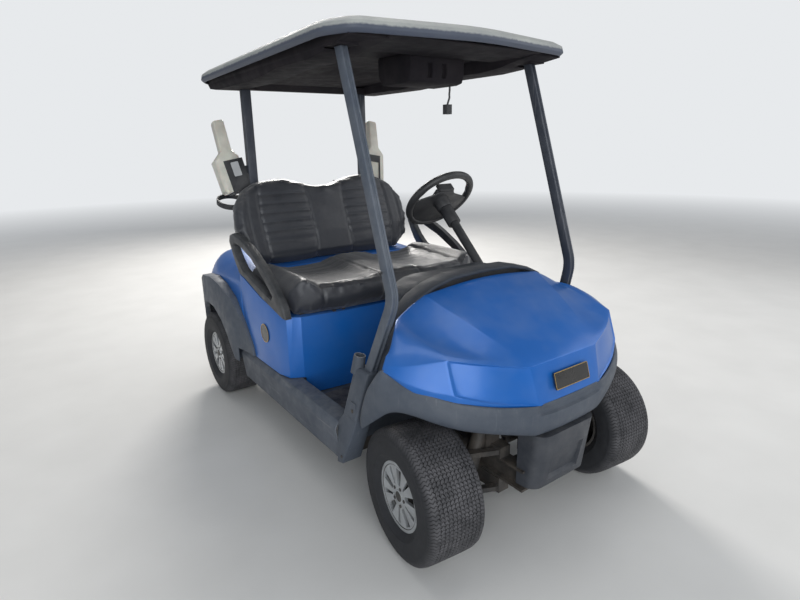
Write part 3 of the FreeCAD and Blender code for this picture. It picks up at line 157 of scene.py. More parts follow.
def surface(name, first, second, rough, settings):
    look = {**standardLook, **settings}
    material, tree, shader, place = startMaterial(name)
    clouds = noise(tree, place, look["cloudScale"], 6, 0.62)
    colour = mixColour(tree, ramp(tree, clouds, *look["cloudRange"]), first, second)
    if look["dust"]:
        specks = noise(tree, place, look["dustScale"], look["dustDetail"], 0.7)
        settled = ramp(tree, upward(tree), look["dustFrom"], 1.0, 0.25, 1.0)
        cover = times(tree, ramp(tree, specks, *look["dustRange"]), settled)
        colour = mixColour(tree, times(tree, cover, look["dust"]), colour, look["dustColour"])
    if look["streaks"]:
        stretched = put(tree, "Mapping", {"Vector": place, "Scale": look["streakStretch"]}).outputs["Vector"]
        lines = ramp(tree, noise(tree, stretched, look["streakScale"], 5), *look["streakRange"])
        colour = mixColour(tree, times(tree, lines, look["streaks"]), colour, look["streakColour"])
    rubbed = ramp(tree, noise(tree, place, look["rubScale"], 5), *look["rubRange"], *rough)
    setShader(tree, shader, Base_Color=colour, Roughness=rubbed, Metallic=look["metal"],
              Coat_Weight=look["coat"], Coat_Roughness=look["coatRough"], Specular_IOR_Level=look["shine"])
    if look["grain"]:
        grain = bump(tree, noise(tree, place, look["grainScale"], 3), look["grain"])
        setShader(tree, shader, Normal=grain.outputs["Normal"])
    return material


# colour, shade and roughness of each look, then what differs from the standard
looks = {
    "paintBlue": ((0.008, 0.115, 0.44), (0.011, 0.13, 0.48), (0.3, 0.42), {"dust": 0.14, "dustScale": 4,
        "dustDetail": 3, "dustColour": (0.38, 0.44, 0.5), "dustFrom": -0.2, "rubScale": 7, "grain": 0.0,
        "metal": 0.2, "coat": 0.3, "coatRough": 0.14, "shine": 0.35, "cloudScale": 2.5}),
    # the blue tint of trimGrey and rockerGrey is partly painted sky light, partly the plastic's own slate
    # grey
    "trimGrey": ((0.048, 0.06, 0.082), (0.068, 0.081, 0.104), (0.48, 0.7), {"dust": 0.3,
        "dustColour": (0.2, 0.215, 0.235), "grain": 0.35, "grainScale": 520, "streaks": 0.1,
        "streakColour": (0.32, 0.33, 0.34)}),
    "rockerGrey": ((0.058, 0.07, 0.092), (0.085, 0.097, 0.12), (0.5, 0.75), {"dust": 0.45,
        "dustColour": (0.24, 0.25, 0.26), "grain": 0.35, "grainScale": 520, "streaks": 0.25,
        "streakStretch": (3, 3, 60), "streakColour": (0.34, 0.34, 0.34)}),
    "dashGrey": ((0.028, 0.034, 0.046), (0.042, 0.049, 0.062), (0.55, 0.72), {"dust": 0.06, "shine": 0.3,
        "grain": 0.3, "grainScale": 620}),
    "plasticBlack": ((0.018, 0.019, 0.022), (0.03, 0.031, 0.035), (0.42, 0.62), {"dust": 0.3,
        "dustColour": (0.2, 0.195, 0.185), "grain": 0.3, "grainScale": 640}),
    "linerDark": ((0.011, 0.01, 0.013), (0.022, 0.019, 0.022), (0.7, 0.9), {"dust": 0.2, "dustFrom": -1.2,
        "dustColour": (0.05, 0.043, 0.043), "shine": 0.12, "grain": 0.3, "grainScale": 420}),
    "boxBlack": ((0.028, 0.032, 0.042), (0.042, 0.047, 0.058), (0.4, 0.6), {"dust": 0.35,
        "dustColour": (0.22, 0.22, 0.22), "grain": 0.3, "grainScale": 560}),
    "strutGrey": ((0.062, 0.078, 0.105), (0.085, 0.1, 0.128), (0.38, 0.58), {"dust": 0.4,
        "dustColour": (0.25, 0.26, 0.27), "grain": 0.12, "streaks": 0.22,
        "streakColour": (0.3, 0.32, 0.35)}),
    "strutDark": ((0.03, 0.036, 0.052), (0.045, 0.052, 0.068), (0.35, 0.55), {"dust": 0.3,
        "dustColour": (0.2, 0.2, 0.21), "grain": 0.12, "streaks": 0.12}),
    "frameBlack": ((0.02, 0.02, 0.022), (0.05, 0.043, 0.036), (0.45, 0.8), {"dust": 0.6,
        "dustColour": (0.2, 0.17, 0.14), "grain": 0.3, "grainScale": 300}),
    "axleMetal": ((0.07, 0.066, 0.062), (0.12, 0.085, 0.06), (0.45, 0.8), {"dust": 0.5,
        "dustColour": (0.24, 0.2, 0.16), "metal": 0.5, "grain": 0.5, "grainScale": 260}),
    "bareSteel": ((0.42, 0.42, 0.43), (0.3, 0.29, 0.28), (0.25, 0.5), {"metal": 0.9, "grain": 0.1}),
    "wheelSilver": ((0.5, 0.52, 0.54), (0.4, 0.42, 0.44), (0.28, 0.45), {"dust": 0.4, "dustFrom": -1.5,
        "dustColour": (0.2, 0.18, 0.15), "dustScale": 30, "metal": 0.55, "grain": 0.06, "coat": 0.2}),
    "wheelDark": ((0.03, 0.03, 0.032), (0.06, 0.056, 0.052), (0.5, 0.7), {"dust": 0.5, "dustFrom": -1.5,
        "dustColour": (0.16, 0.14, 0.12)}),
    "restraintBlack": ((0.022, 0.024, 0.028), (0.035, 0.037, 0.042), (0.36, 0.56), {"dust": 0.35,
        "dustColour": (0.2, 0.2, 0.2), "grainScale": 480}),
    "gripBlack": ((0.02, 0.021, 0.024), (0.034, 0.035, 0.038), (0.38, 0.58), {"dust": 0.25,
        "dustColour": (0.22, 0.21, 0.2), "grain": 0.5, "grainScale": 380}),
    "matBlack": ((0.03, 0.03, 0.032), (0.05, 0.048, 0.046), (0.6, 0.85), {"dust": 0.7,
        "dustColour": (0.24, 0.22, 0.2), "grain": 0.5, "grainScale": 260}),
    "batteryGrey": ((0.04, 0.04, 0.043), (0.07, 0.068, 0.066), (0.5, 0.7), {"dust": 0.6}),
    "goldEdge": ((0.5, 0.34, 0.12), (0.42, 0.29, 0.11), (0.3, 0.45), {"metal": 0.8, "grain": 0.05}),
    "plateBlack": ((0.012, 0.011, 0.01), (0.02, 0.018, 0.016), (0.22, 0.4), {"dust": 0.06, "grain": 0.06,
        "coat": 0.3}),
    "labelGrey": ((0.42, 0.43, 0.44), (0.5, 0.5, 0.5), (0.5, 0.65), {"dust": 0.3,
        "dustColour": (0.3, 0.28, 0.25), "grain": 0.05}),
}
finish = {name: surface(name, *look) for name, look in looks.items()}


# seat vinyl: a leather grain of cells over slow folds, dusty where it faces up

vinylLook = {"colour": (0.02, 0.022, 0.03), "shade": (0.03, 0.033, 0.042), "dust": 0.26,
             "dustColour": (0.3, 0.285, 0.255), "cellScale": 420, "cellBump": 0.28, "foldScale": 34,
             "foldBump": 0.25, "foldHeight": 0.004, "rough": (0.34, 0.5), "sheen": 0.15, "coat": 0.12}


def vinylMaterial():
    look = vinylLook
    material, tree, shader, place = startMaterial("seatVinyl")
    clouds = noise(tree, place, 6, 5)
    base = mixColour(tree, ramp(tree, clouds, 0.35, 0.7), look["colour"], look["shade"])
    specks = ramp(tree, noise(tree, place, 18, 8, 0.7), 0.3, 0.75)
    cover = times(tree, ramp(tree, upward(tree), 0.1, 1.0, 0.0, look["dust"]), specks)
    cells = put(tree, "TexVoronoi", {"Vector": place, "Scale": look["cellScale"]}, feature="DISTANCE_TO_EDGE")
    grain = bump(tree, ramp(tree, cells.outputs["Distance"], 0.0, 0.25), look["cellBump"])
    soft = bump(tree, noise(tree, place, look["foldScale"], 4), look["foldBump"], look["foldHeight"])
    feed(tree, soft.inputs["Normal"], grain.outputs["Normal"])
    setShader(tree, shader, Base_Color=mixColour(tree, cover, base, look["dustColour"]),
              Roughness=ramp(tree, clouds, 0.3, 0.7, *look["rough"]), Normal=soft.outputs["Normal"],
              Sheen_Weight=look["sheen"], Coat_Weight=look["coat"])
    return material


finish["seatVinyl"] = vinylMaterial()


# milky bottle wall that lets some light through

bottleLook = {"colour": (0.72, 0.7, 0.62), "shade": (0.58, 0.56, 0.49), "rough": 0.38, "through": 0.15,
              "milk": 0.1}


def bottleMaterial():
    look = bottleLook
    material, tree, shader, place = startMaterial("bottleMilky")
    clouds = ramp(tree, noise(tree, place, 20, 6), 0.35, 0.7)
    setShader(tree, shader, Base_Color=mixColour(tree, clouds, look["colour"], look["shade"]),
              Roughness=look["rough"], Transmission_Weight=look["through"], Subsurface_Weight=look["milk"])
    return material


finish["bottleMilky"] = bottleMaterial()


# canopy: a pale top of painted sunlight with weathered patches, and slate sides of painted shade, parted at a
# height that falls towards the front

# top is the canopy's pale top colour with painted sunlight in it, side is the slate colour of its sides with
# painted shade in it, each in two tones
roofLook = {"top": (0.36, 0.37, 0.35), "topShade": (0.27, 0.28, 0.28), "side": (0.055, 0.066, 0.095),
            "sideShade": (0.075, 0.086, 0.115), "paleFrom": 1.665, "paleOver": 0.006, "slope": 0.0209,
            "ragged": 0.002, "rough": (0.45, 0.65), "grain": 0.25}


def roofMaterial():
    look = roofLook
    material, tree, shader, place = startMaterial("roofPaintedSunAndShade")
    facing = upward(tree)
    clouds = noise(tree, place, 7, 8, 0.66)
    patches = ramp(tree, clouds, 0.35, 0.7)
    top = mixColour(tree, patches, look["top"], look["topShade"])
    side = mixColour(tree, patches, look["side"], look["sideShade"])
    parts = split(tree, place)
    specks = ramp(tree, noise(tree, place, 60, 6), 0.3, 0.7, -look["ragged"], look["ragged"])
    level = compute(tree, "ADD", parts["Z"], times(tree, parts["Y"], look["slope"]))
    level = compute(tree, "ADD", level, specks)
    high = ramp(tree, level, look["paleFrom"], look["paleFrom"] + look["paleOver"])
    # painted sunlight: the pale colour goes on faces turned upwards above the parting line
    pale = times(tree, high, ramp(tree, facing, -0.02, 0.08))
    grain = bump(tree, noise(tree, place, 500, 3), look["grain"])
    setShader(tree, shader, Base_Color=mixColour(tree, pale, side, top), Normal=grain.outputs["Normal"],
              Roughness=ramp(tree, clouds, 0.3, 0.7, *look["rough"]))
    return material


finish["roofPaintedSunAndShade"] = roofMaterial()


# rubber with cross cuts on the tread, darkened as painted shade, and dust, laid about the wheel's own axle

rubberLook = {"colour": (0.011, 0.012, 0.015), "shade": (0.02, 0.021, 0.025), "rough": 0.72,
              "dustColour": (0.115, 0.112, 0.12), "dustFrom": 0.205, "dustTo": 0.2265, "dust": (0.04, 0.8),
              "cutShadeColour": (0.01, 0.01, 0.012), "cutShadeShare": 0.9, "cuts": 17.5, "zigzags": 70.0,
              "treadFrom": 0.2, "treadTo": 0.212, "fine": 0.2, "bump": 0.9, "bumpHeight": 0.003}


def tyreMaterial(name, centre, steer):
    look = rubberLook
    material, tree, shader, place = startMaterial(name)
    local = put(tree, "Mapping", {"Vector": place, "Location": centre, "Rotation": (0, 0, steer)},
                vector_type="TEXTURE").outputs["Vector"]
    parts = split(tree, local)
    along, fore, high = parts["X"], parts["Y"], parts["Z"]
    radius = compute(tree, "SQRT", compute(tree, "ADD", times(tree, fore, fore), times(tree, high, high)))
    zigzag = compute(tree, "PINGPONG", times(tree, along, look["zigzags"]))
    turns = compute(tree, "ADD", times(tree, compute(tree, "ARCTAN2", high, fore), look["cuts"]), zigzag)
    cuts = ramp(tree, compute(tree, "PINGPONG", turns), 0.02, 0.14, 1.0, 0.0)
    grooves = times(tree, cuts, ramp(tree, radius, look["treadFrom"], look["treadTo"]))
    height = compute(tree, "SUBTRACT", times(tree, noise(tree, local, 300, 5), look["fine"]), grooves)
    clouds = noise(tree, place, 16, 8, 0.7)
    base = mixColour(tree, ramp(tree, clouds, 0.35, 0.7), look["colour"], look["shade"])
    dust = times(tree, ramp(tree, radius, look["dustFrom"], look["dustTo"], *look["dust"]),
                 ramp(tree, clouds, 0.25, 0.65))
    base = mixColour(tree, dust, base, look["dustColour"])
    # painted shade: the cross cuts on the tread are darkened and the dust is left out of them
    base = mixColour(tree, times(tree, grooves, look["cutShadeShare"]), base, look["cutShadeColour"])
    setShader(tree, shader, Base_Color=base, Roughness=look["rough"],
              Normal=bump(tree, height, look["bump"], look["bumpHeight"]).outputs["Normal"])
    return material


print("materials ready")


# shape tools

# writes a bmesh to an object at the origin, on the body of a node, and hides the node when it replaces it
def finishPiece(name, bm, node, materials, smooth=35, replace=True):
    mesh = bpy.data.meshes.new(name)
    bm.to_mesh(mesh)
    bm.free()
    for material in materials.split():
        mesh.materials.append(finish[material])
    mesh.shade_smooth()
    mesh.set_sharp_from_angle(angle=math.radians(smooth))
    piece = bpy.data.objects.new(name, mesh)
    scene.collection.objects.link(piece)
    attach(piece, bodyOfNode[node])
    if replace:
        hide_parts(node)
    return piece


# a node's mesh with its corners joined and its flat faces made whole
def nodeCopy(node):
    bm = bmesh.new()
    bm.from_mesh(frame["nodes"][node].data)
    bmesh.ops.remove_doubles(bm, verts=bm.verts, dist=0.00006)
    bmesh.ops.dissolve_limit(bm, angle_limit=math.radians(0.6), verts=bm.verts, edges=bm.edges)
    return bm


def bevel(bm, edges, width, segments, clamp=False):
    bmesh.ops.bevel(bm, geom=edges, offset=width, affect="EDGES", segments=segments, profile=0.5, material=-1,
                    clamp_overlap=clamp)


def roundEdges(bm, width, segments=2, sharper=24):
    edges = [e for e in bm.edges if e.is_manifold and e.calc_face_angle(0) > math.radians(sharper)
             and e.calc_length() > 0.6 * width]
    bevel(bm, edges, width, segments, True)


def edgesOf(verts):
    return list(dict.fromkeys(e for v in verts for e in v.link_edges))


def rimsOf(edges):
    return [e for e in edges if e.calc_face_angle(0) > 1]


def inset(bm, faces, thickness, depth=0, even=False):
    made = bmesh.ops.inset_region(bm, faces=faces, thickness=thickness, depth=depth, use_even_offset=even)
    return made["faces"]


def cutAlong(bm, place, normal, **options):
    bmesh.ops.bisect_plane(bm, geom=bm.verts[:] + bm.edges[:] + bm.faces[:], plane_co=place, plane_no=normal,
                           **options)


def spin(bm, verts, axis, steps):
    bmesh.ops.spin(bm, geom=verts + edgesOf(verts), cent=(0, 0, 0), axis=axis, angle=2 * math.pi, steps=steps,
                   use_merge=True)


def faceOut(bm, outward):
    bmesh.ops.recalc_face_normals(bm, faces=bm.faces)
    if sum(f.normal.dot(outward(f)) * f.calc_area() for f in bm.faces) < 0:
        bmesh.ops.reverse_faces(bm, faces=bm.faces)


def turnTo(direction):
    return Vector(direction).to_track_quat("Z", "Y").to_matrix().to_4x4()


# from millimetres about a piece's own place to the frame
def setDown(bm, place):
    bmesh.ops.transform(bm, matrix=Matrix.Scale(mm, 4) @ place, verts=bm.verts)


# finishes of the nodes that keep their own mesh, and of those whose edges are rounded by a width

plainNodes = {"frameBlack": "chassis_frame front_suspension rear_springs rack_housing seat_hinges pedals",
              "axleMetal": "rear_axle knuckle_left knuckle_right", "bareSteel": "rack_bar",
              "batteryGrey": "battery_pack", "plasticBlack": "seat_pan lead_connector firewall bag_well",
              "trimGrey": "floor_pan", "matBlack": "floor_mat"}
roundedNodes = [
    ("rockerGrey", 3, "rocker_left rocker_right"),
    ("trimGrey", 3, "strut_base_left strut_base_right rear_arch_left rear_arch_right"),
    ("trimGrey", 5, "rear_bumper"), ("dashGrey", 5, "dash_cap"),
    ("strutDark", 2, "front_strut_left"), ("strutGrey", 2, "front_strut_right"),
    ("strutDark", 3, "rear_strut_left rear_strut_right"),
    ("restraintBlack", 3, "hip_restraint_left hip_restraint_right"),
    # the roof's finish has painted sunlight on its top and painted shade on its sides
    ("linerDark", 5, "overhead_console"), ("linerDark", 3, "roof_liner"), ("roofPaintedSunAndShade", 3, "roof"),
    ("plasticBlack", 1.2, "sand_bottle_holder_left sand_bottle_holder_right"),
    ("bottleMilky", 4, "sand_bottle_left sand_bottle_right"),
    ("frameBlack", 2, "bag_rack"), ("plasticBlack", 2, "seat_back_shell steering_column"),
]


def dressNodes():
    for material, nodes in plainNodes.items():
        for node in nodes.split():
            data = frame["nodes"][node].data
            data.materials.clear()
            data.materials.append(finish[material])
    for material, width, nodes in roundedNodes:
        for node in nodes.split():
            bm = nodeCopy(node)
            roundEdges(bm, width * mm)
            first, *others = node.split("_")
            finishPiece(first + "".join(word.capitalize() for word in others) + "Skin", bm, node, material)


dressNodes()


# the lead that hangs from the overhead console, above its block connector

leadCord = {"points": [(186, -305, 1561.9), (187.5, -304.5, 1548), (183.5, -305.5, 1532), (187, -304, 1517),
                       (182, -302, 1504), (178, -301, 1490)],
            "width": 0.008, "length": 0.073}


def makeLead():
    curve = bpy.data.curves.new("consoleLead", "CURVE")
    curve.dimensions = "3D"
    curve.bevel_depth = leadCord["width"] / 2
    curve.bevel_resolution = 4
    curve.resolution_u = 12
    spline = curve.splines.new("NURBS")
    spline.points.add(len(leadCord["points"]) - 1)
    for point, place in zip(spline.points, leadCord["points"]):
        point.co = (place[0] * mm, place[1] * mm, place[2] * mm, 1)
    spline.order_u = 3
    spline.use_endpoint_u = True
    lead = bpy.data.objects.new("consoleLead", curve)
    scene.collection.objects.link(lead)
    curve.materials.append(finish["plasticBlack"])
    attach(lead, "cart")
    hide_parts("console_lead")


makeLead()
print("plain and rounded nodes dressed")


# shells over a grid of columns, each column a list of places from one edge of the shell to the other

shellLook = {"level": 3, "smooth": 50, "middle": (0, 0, 0.4)}


def gridShell(columns):
    bm = bmesh.new()
    rows = len(columns[0])
    made = bmesh.ops.create_grid(bm, x_segments=len(columns) - 1, y_segments=rows - 1, size=1)
    at = {}
    for index, vert in enumerate(made["verts"]):
        row, column = divmod(index, len(columns))
        at[column, row] = vert
        vert.co = Vector(columns[column][row]) * mm
    return bm, at


def foldEdges(bm, at, folds):
    crease = bm.edges.layers.float.new("crease_edge")
    for first, second, sharp in folds:
        bm.edges.get((at[first], at[second]))[crease] = sharp


def addWall(piece, level, wall, boundary):
    rounding = piece.modifiers.new("rounding", "SUBSURF")
    rounding.levels = rounding.render_levels = level
    rounding.boundary_smooth = boundary
    sheet = piece.modifiers.new("sheet", "SOLIDIFY")
    sheet.thickness = wall * mm
    sheet.offset = -1


def finishShell(name, bm, material, node, wall):
    bmesh.ops.mirror(bm, geom=bm.verts[:] + bm.edges[:] + bm.faces[:], axis="X", merge_dist=0.0001)
    faceOut(bm, lambda face: face.calc_center_median() - Vector(shellLook["middle"]))
    piece = finishPiece(name, bm, node, material, shellLook["smooth"])
    addWall(piece, shellLook["level"], wall, "PRESERVE_CORNERS")


# front cowl: from the centre line to the side, each column from the bumper's seam up the face and back
# over the hood; the face between the seam and its top edge gets a lip and a sunken panel

cowlColumns = [
    [(0, -1153, 522), (0, -1114, 668), (0, -1092, 682), (0, -1000, 733), (0, -880, 795),
     (0, -727.5, 872)],
    [(150, -1149, 524), (164, -1108, 664), (169, -1088, 679), (203, -1000, 727), (251, -880, 780),
     (285, -727.5, 840)],
    [(178, -1139, 526), (190, -1099, 668), (194, -1080, 682), (222, -1000, 724), (264, -880, 773),
     (295, -727.5, 835)],
    [(298, -1106, 542), (300, -1064, 690), (301, -1046, 700), (316, -1000, 706), (342, -880, 746),
     (348, -727.5, 812)],
    [(400, -1050, 564), (403, -998, 710), (400, -980, 720), (402, -950, 727), (408, -880, 740),
     (402, -727.5, 778)],
    [(411, -1043, 567), (412, -991, 712), (408, -973, 721), (409, -945, 729), (415, -880, 742),
     (412, -736, 777)],
    [(468, -990, 586), (453, -953, 700), (444, -934, 716), (441, -908, 730), (441, -860, 748),
     (444, -775, 770)],
    [(518, -928, 618), (505, -905, 686), (495, -887, 706), (487, -864, 723), (481, -837, 735),
     (478, -806, 742)],
    [(544, -878, 650), (531, -870, 684), (522, -860, 700), (515, -852, 709), (510, -843, 714),
     (507, -832, 717)],
    [(551, -848, 658), (541, -844, 680), (534, -841, 691), (529, -839, 698), (526, -837, 702),
     (524, -835, 705)],
]
cowlLook = {"wall": 4, "lip": {0: 0.15, 1: 0.15, 2: 0.16, 3: 0.21, 4: 0.29}, "lipBeyond": 0.3,
            "lipBefore": 0.02, "lipAfter": 0.015, "top": 0.965, "deep": {2: 3, 3: 6, 4: 5},
            "inward": (-0.36, 0.93, -0.12), "crease": 0.9, "tuck": 11, "tuckTo": -700, "hem": (0, 3, -7)}


def makeCowl():
    look = cowlLook
    columns = []
    for index, base in enumerate(cowlColumns):
        low, high = Vector(base[0]), Vector(base[1])
        lip = look["lip"].get(index, look["lipBeyond"])
        sink = Vector(look["inward"]) * look["deep"].get(index, 0)
        tuck = (Vector((0, look["tuckTo"], low.z)) - low).normalized() * look["tuck"]
        face = [low + tuck, low.lerp(high, lip - look["lipBefore"]),
                low.lerp(high, lip + look["lipAfter"]) + sink, low.lerp(high, look["top"]) + sink, high]
        columns.append(face + base[2:] + [Vector(base[-1]) + Vector(look["hem"])])
    bm, at = gridShell(columns)
    folds = [((1, row), (1, row + 1)) for row in range(len(columns[0]) - 1)]
    folds += [((index, row), (index + 1, row)) for index in (1, 2, 3) for row in (1, 2, 3, 4)]
    folds += [((index, row), (index, row + 1)) for index in (4, 5) for row in (1, 2, 3)]
    folds += [((4, row), (5, row)) for row in (1, 4)] + [((0, 4), (1, 4))]
    foldEdges(bm, at, [(first, second, look["crease"]) for first, second in folds])
    finishShell("hoodShell", bm, "paintBlue", "front_cowl", look["wall"])


makeCowl()


# front bumper and arches: plan of the nose low down and high up, then the top and the lower edge's heights

bumperPlan = [((0, -1153), (0, -1110), 540, 426), ((75, -1152), (82, -1107), 540, 427),
              ((150, -1149), (165, -1102), 542, 430), ((172, -1144), (186, -1097), 544, 434),
              ((300, -1107), (300, -1060), 562, 466), ((402, -1050), (391, -1010), 584, 487),
              ((469, -991), (450, -950), 606, 514), ((519, -928), (494, -880), 644, 535),
              ((545, -872), (519, -842), 668, 528)]
bumperEnds = [[(554, -812, 482), (556, -822, 545), (550, -856, 672)],
              [(557, -704, 394), (557, -712, 428), (557, -753, 531), (557, -777, 577), (552, -840, 664)]]
bumperLook = {"lowZ": 545, "highZ": 720, "wall": 3,
              "rows": [(0.9, -7), (1.0, -6), (1.0, 1), (0.95, 5), (0.74, 6), (0.7, 6), (0.5, 6), (0.24, 3),
                       (0.07, -6), (0.0, -15), (0.05, -22)],
              "ledge": {2: 8, 3: 11, 4: 11}, "ledgeColumns": 3, "endRows": (2, 3, 4),
              "creases": {2: 0.6, 4: 0.9, 5: 1.0}, "ledgeEnd": 0.9}


# the place on a rising line of points at a height
def onLine(points, height):
    for low, high in zip(points, points[1:]):
        if height <= high[2]:
            break
    return Vector(low).lerp(Vector(high), (height - low[2]) / (high[2] - low[2]))


def noseColumn(index):
    look = bumperLook
    low, high, top, bottom = bumperPlan[index]
    before, after = bumperPlan[max(index - 1, 0)][0], bumperPlan[min(index + 1, len(bumperPlan) - 1)][0]
    outward = Vector((after[1] - before[1], before[0] - after[0], 0)).normalized()
    if index == 0:
        outward = Vector((0, -1, 0))
    column = []
    for row, (share, proud) in enumerate(look["rows"]):
        height = bottom + share * (top - bottom)
        lean = max(height - look["lowZ"], 0) / (look["highZ"] - look["lowZ"])
        place = Vector((*low, height)).lerp(Vector((*high, height)), lean)
        if index < look["ledgeColumns"]:
            proud -= look["ledge"].get(row, 0)
        column.append(place + outward * proud)
    return column


def endColumn(line):
    bottom, top = line[0][2], line[-1][2]
    return [onLine(line, bottom + share * (top - bottom)) + Vector((proud, 0, 0))
            for share, proud in bumperLook["rows"]]


def makeBumper():
    look = bumperLook
    columns = [noseColumn(index) for index in range(len(bumperPlan))]
    columns += [endColumn(line) for line in bumperEnds]
    bm, at = gridShell(columns)
    last = look["ledgeColumns"] - 1
    folds = [((column, row), (column + 1, row), sharp) for column in range(last)
             for row, sharp in look["creases"].items()]
    folds += [((last, row), (last, row + 1), look["ledgeEnd"]) for row in look["endRows"]]
    foldEdges(bm, at, folds)
    finishShell("bumperShell", bm, "trimGrey", "front_bumper", look["wall"])


makeBumper()


# dark moulding between the rear edges of hood and bumper and the struts: front line and rear line

mouldingLines = [((402, -748, 766), (402, -722, 762)), ((444, -790, 762), (424, -722, 732)),
                 ((478, -818, 732), (440, -722, 704)), ((507, -844, 706), (450, -722, 684)),
                 ((524, -850, 694), (455, -715, 668)), ((543, -855, 655), (462, -705, 640)),
                 ((547, -792, 577), (470, -698, 577)), ((547, -768, 531), (478, -692, 531)),
                 ((547, -726, 440), (500, -688, 440))]
mouldingLook = {"wall": 3, "level": 2, "smooth": 50}


def makeMouldings():
    look = mouldingLook
    for side, name in sides:
        columns = [[(side * x, y, z) for x, y, z in (front, [(a + b) / 2 for a, b in zip(front, rear)], rear)]
                   for front, rear in mouldingLines]
        bm = gridShell(columns)[0]
        faceOut(bm, lambda face: Vector((side, 0, 0)))
        piece = finishPiece("sideMoulding" + name, bm, "dash_cap", "dashGrey", look["smooth"], False)
        addWall(piece, look["level"], look["wall"], "ALL")


makeMouldings()


# bumper box: one rounded block below the nose with a shallow recess

boxLook = {"half": 148, "narrow": 8, "frontHigh": -1155, "frontLow": -1128, "back": -1056, "low": 214,
           "high": 422, "corner": 40, "cornerBefore": -1100, "frame": 22, "recessTop": 350, "recessLip": 3,
           "recessDeep": 10, "recessDraw": 8, "recessMiddle": 300}


def makeBumperBox():
    look = boxLook
    bm = bmesh.new()
    made = bmesh.ops.create_cube(bm, size=1)
    for vert in made["verts"]:
        high, rear = vert.co.z > 0, vert.co.y > 0
        front = look["frontHigh"] if high else look["frontLow"]
        half = look["half"] - (0 if rear else look["narrow"])
        vert.co = Vector((math.copysign(half, vert.co.x), look["back"] if rear else front,
                          look["high"] if high else look["low"])) * mm
    corners = [e for e in bm.edges if all(v.co.y < look["cornerBefore"] * mm for v in e.verts)
               and abs(e.verts[0].co.x - e.verts[1].co.x) < 10 * mm]
    bevel(bm, corners, look["corner"] * mm, 6)
    face = max((f for f in bm.faces if f.normal.y < -0.9), key=lambda f: f.calc_area())
    inset(bm, [face], look["frame"] * mm, even=True)
    for vert in face.verts:
        vert.co.z = min(vert.co.z, look["recessTop"] * mm)
    inset(bm, [face], look["recessLip"] * mm, -look["recessDeep"] * mm, True)
    for vert in face.verts:
        vert.co.z += look["recessDraw"] * mm * (1 if vert.co.z < look["recessMiddle"] * mm else -1)
    finishPiece("bumperBoxShell", bm, "bumper_box", "boxBlack", 30)


makeBumperBox()
print("hood, bumper and its box made")


# dashboard: the CAD block drawn in towards its ends, where it hides behind the struts, and its top's line

dashLook = {"front": -671.7, "from": 200, "to": 430, "left": 0.25, "edge": 3,
            "cuts": (84, 130, 164, 205, 242, 277, 304, 340, 370, 400),
            "highest": [(0, 866), (84, 864), (164, 856), (242, 835), (277, 815), (304, 793), (340, 756),
                        (400, 690), (460, 620), (560, 500)]}


def makeDashboard():
    look = dashLook
    bm = nodeCopy("dashboard")
    for side in (-1, 1):
        for reach in look["cuts"]:
            cutAlong(bm, (side * reach * mm, 0, 0), (1, 0, 0), dist=0.0001)
    front = look["front"] * mm
    for vert in bm.verts:
        across = abs(vert.co.x) / mm
        share = max(0.0, min(1.0, (across - look["from"]) / (look["to"] - look["from"])))
        keep = 1 - (1 - look["left"]) * share * share * (3 - 2 * share)
        vert.co.y = front + (vert.co.y - front) * keep
        for (x0, z0), (x1, z1) in zip(look["highest"], look["highest"][1:]):
            if x0 <= across <= x1:
                most = z0 + (z1 - z0) * (across - x0) / (x1 - x0)
                vert.co.z = min(vert.co.z, most * mm)
    roundEdges(bm, look["edge"] * mm, 2, 40)
    finishPiece("dashboardSkin", bm, "dashboard", "dashGrey", 40)


makeDashboard()


# rear body: the CAD panels round the seat, then a smooth shell over the rear wheels and the tail

bodyRows = [
    (339, [(0, 752), (360, 752), (430, 752), (506, 746), (542, 726), (555, 690), (556, 530)]),
    (500, [(0, 770), (360, 769), (414, 769), (487, 760), (532, 731), (552, 686), (557, 638)]),
    (700, [(0, 788), (360, 787), (396, 786), (466, 773), (519, 736), (544, 688), (548, 666)]),
    (800, [(0, 792), (360, 791), (390, 790), (460, 776), (511, 736), (538, 682), (543, 656)]),
    (940, [(0, 780), (360, 778), (380, 776), (440, 764), (490, 716), (524, 642), (536, 602)]),
    (1050, [(0, 722), (360, 706), (378, 698), (408, 682), (445, 640), (480, 572), (504, 498)]),
    (1092, [(0, 646), (360, 620), (374, 610), (392, 592), (416, 556), (440, 496), (458, 395)]),
    (1133, [(0, 566), (250, 560), (290, 554), (340, 538), (372, 508), (392, 470), (400, 374)]),
    (1133, [(0, 373), (240, 373), (280, 373), (325, 373), (355, 373), (380, 373), (399, 373)]),
]
rearLook = {"split": 340, "bagColumns": (0, 1), "bagRows": (2, 6), "tailRow": 7, "tailCrease": 0.5, "wall": 4}


def makeRearBody():
    look = rearLook
    bm = nodeCopy("rear_body")
    cutAlong(bm, (0, look["split"] * mm, 0), (0, 1, 0), clear_outer=True, dist=0.0001)
    bmesh.ops.dissolve_degenerate(bm, dist=0.0001, edges=bm.edges)
    roundEdges(bm, 5 * mm, 3, 20)
    finishPiece("seatPanels", bm, "rear_body", "paintBlue", 40)

    across = len(bodyRows[0][1])
    columns = [[(half[index][0], y, half[index][1]) for y, half in bodyRows] for index in range(across)]
    bm, at = gridShell(columns)
    row = look["tailRow"]
    folds = [((column, row), (column + 1, row), look["tailCrease"]) for column in range(across - 1)]
    foldEdges(bm, at, folds)
    first, last = look["bagRows"]
    corners = [at[column, row] for column in look["bagColumns"] for row in range(first, last + 1)]
    opening = [f for f in bm.faces if all(v in corners for v in f.verts)]
    bmesh.ops.delete(bm, geom=opening, context="FACES")
    finishShell("tailShell", bm, "paintBlue", "rear_body", look["wall"])


makeRearBody()


# moulded boots that widen the struts' feet, and the short tube sockets behind them

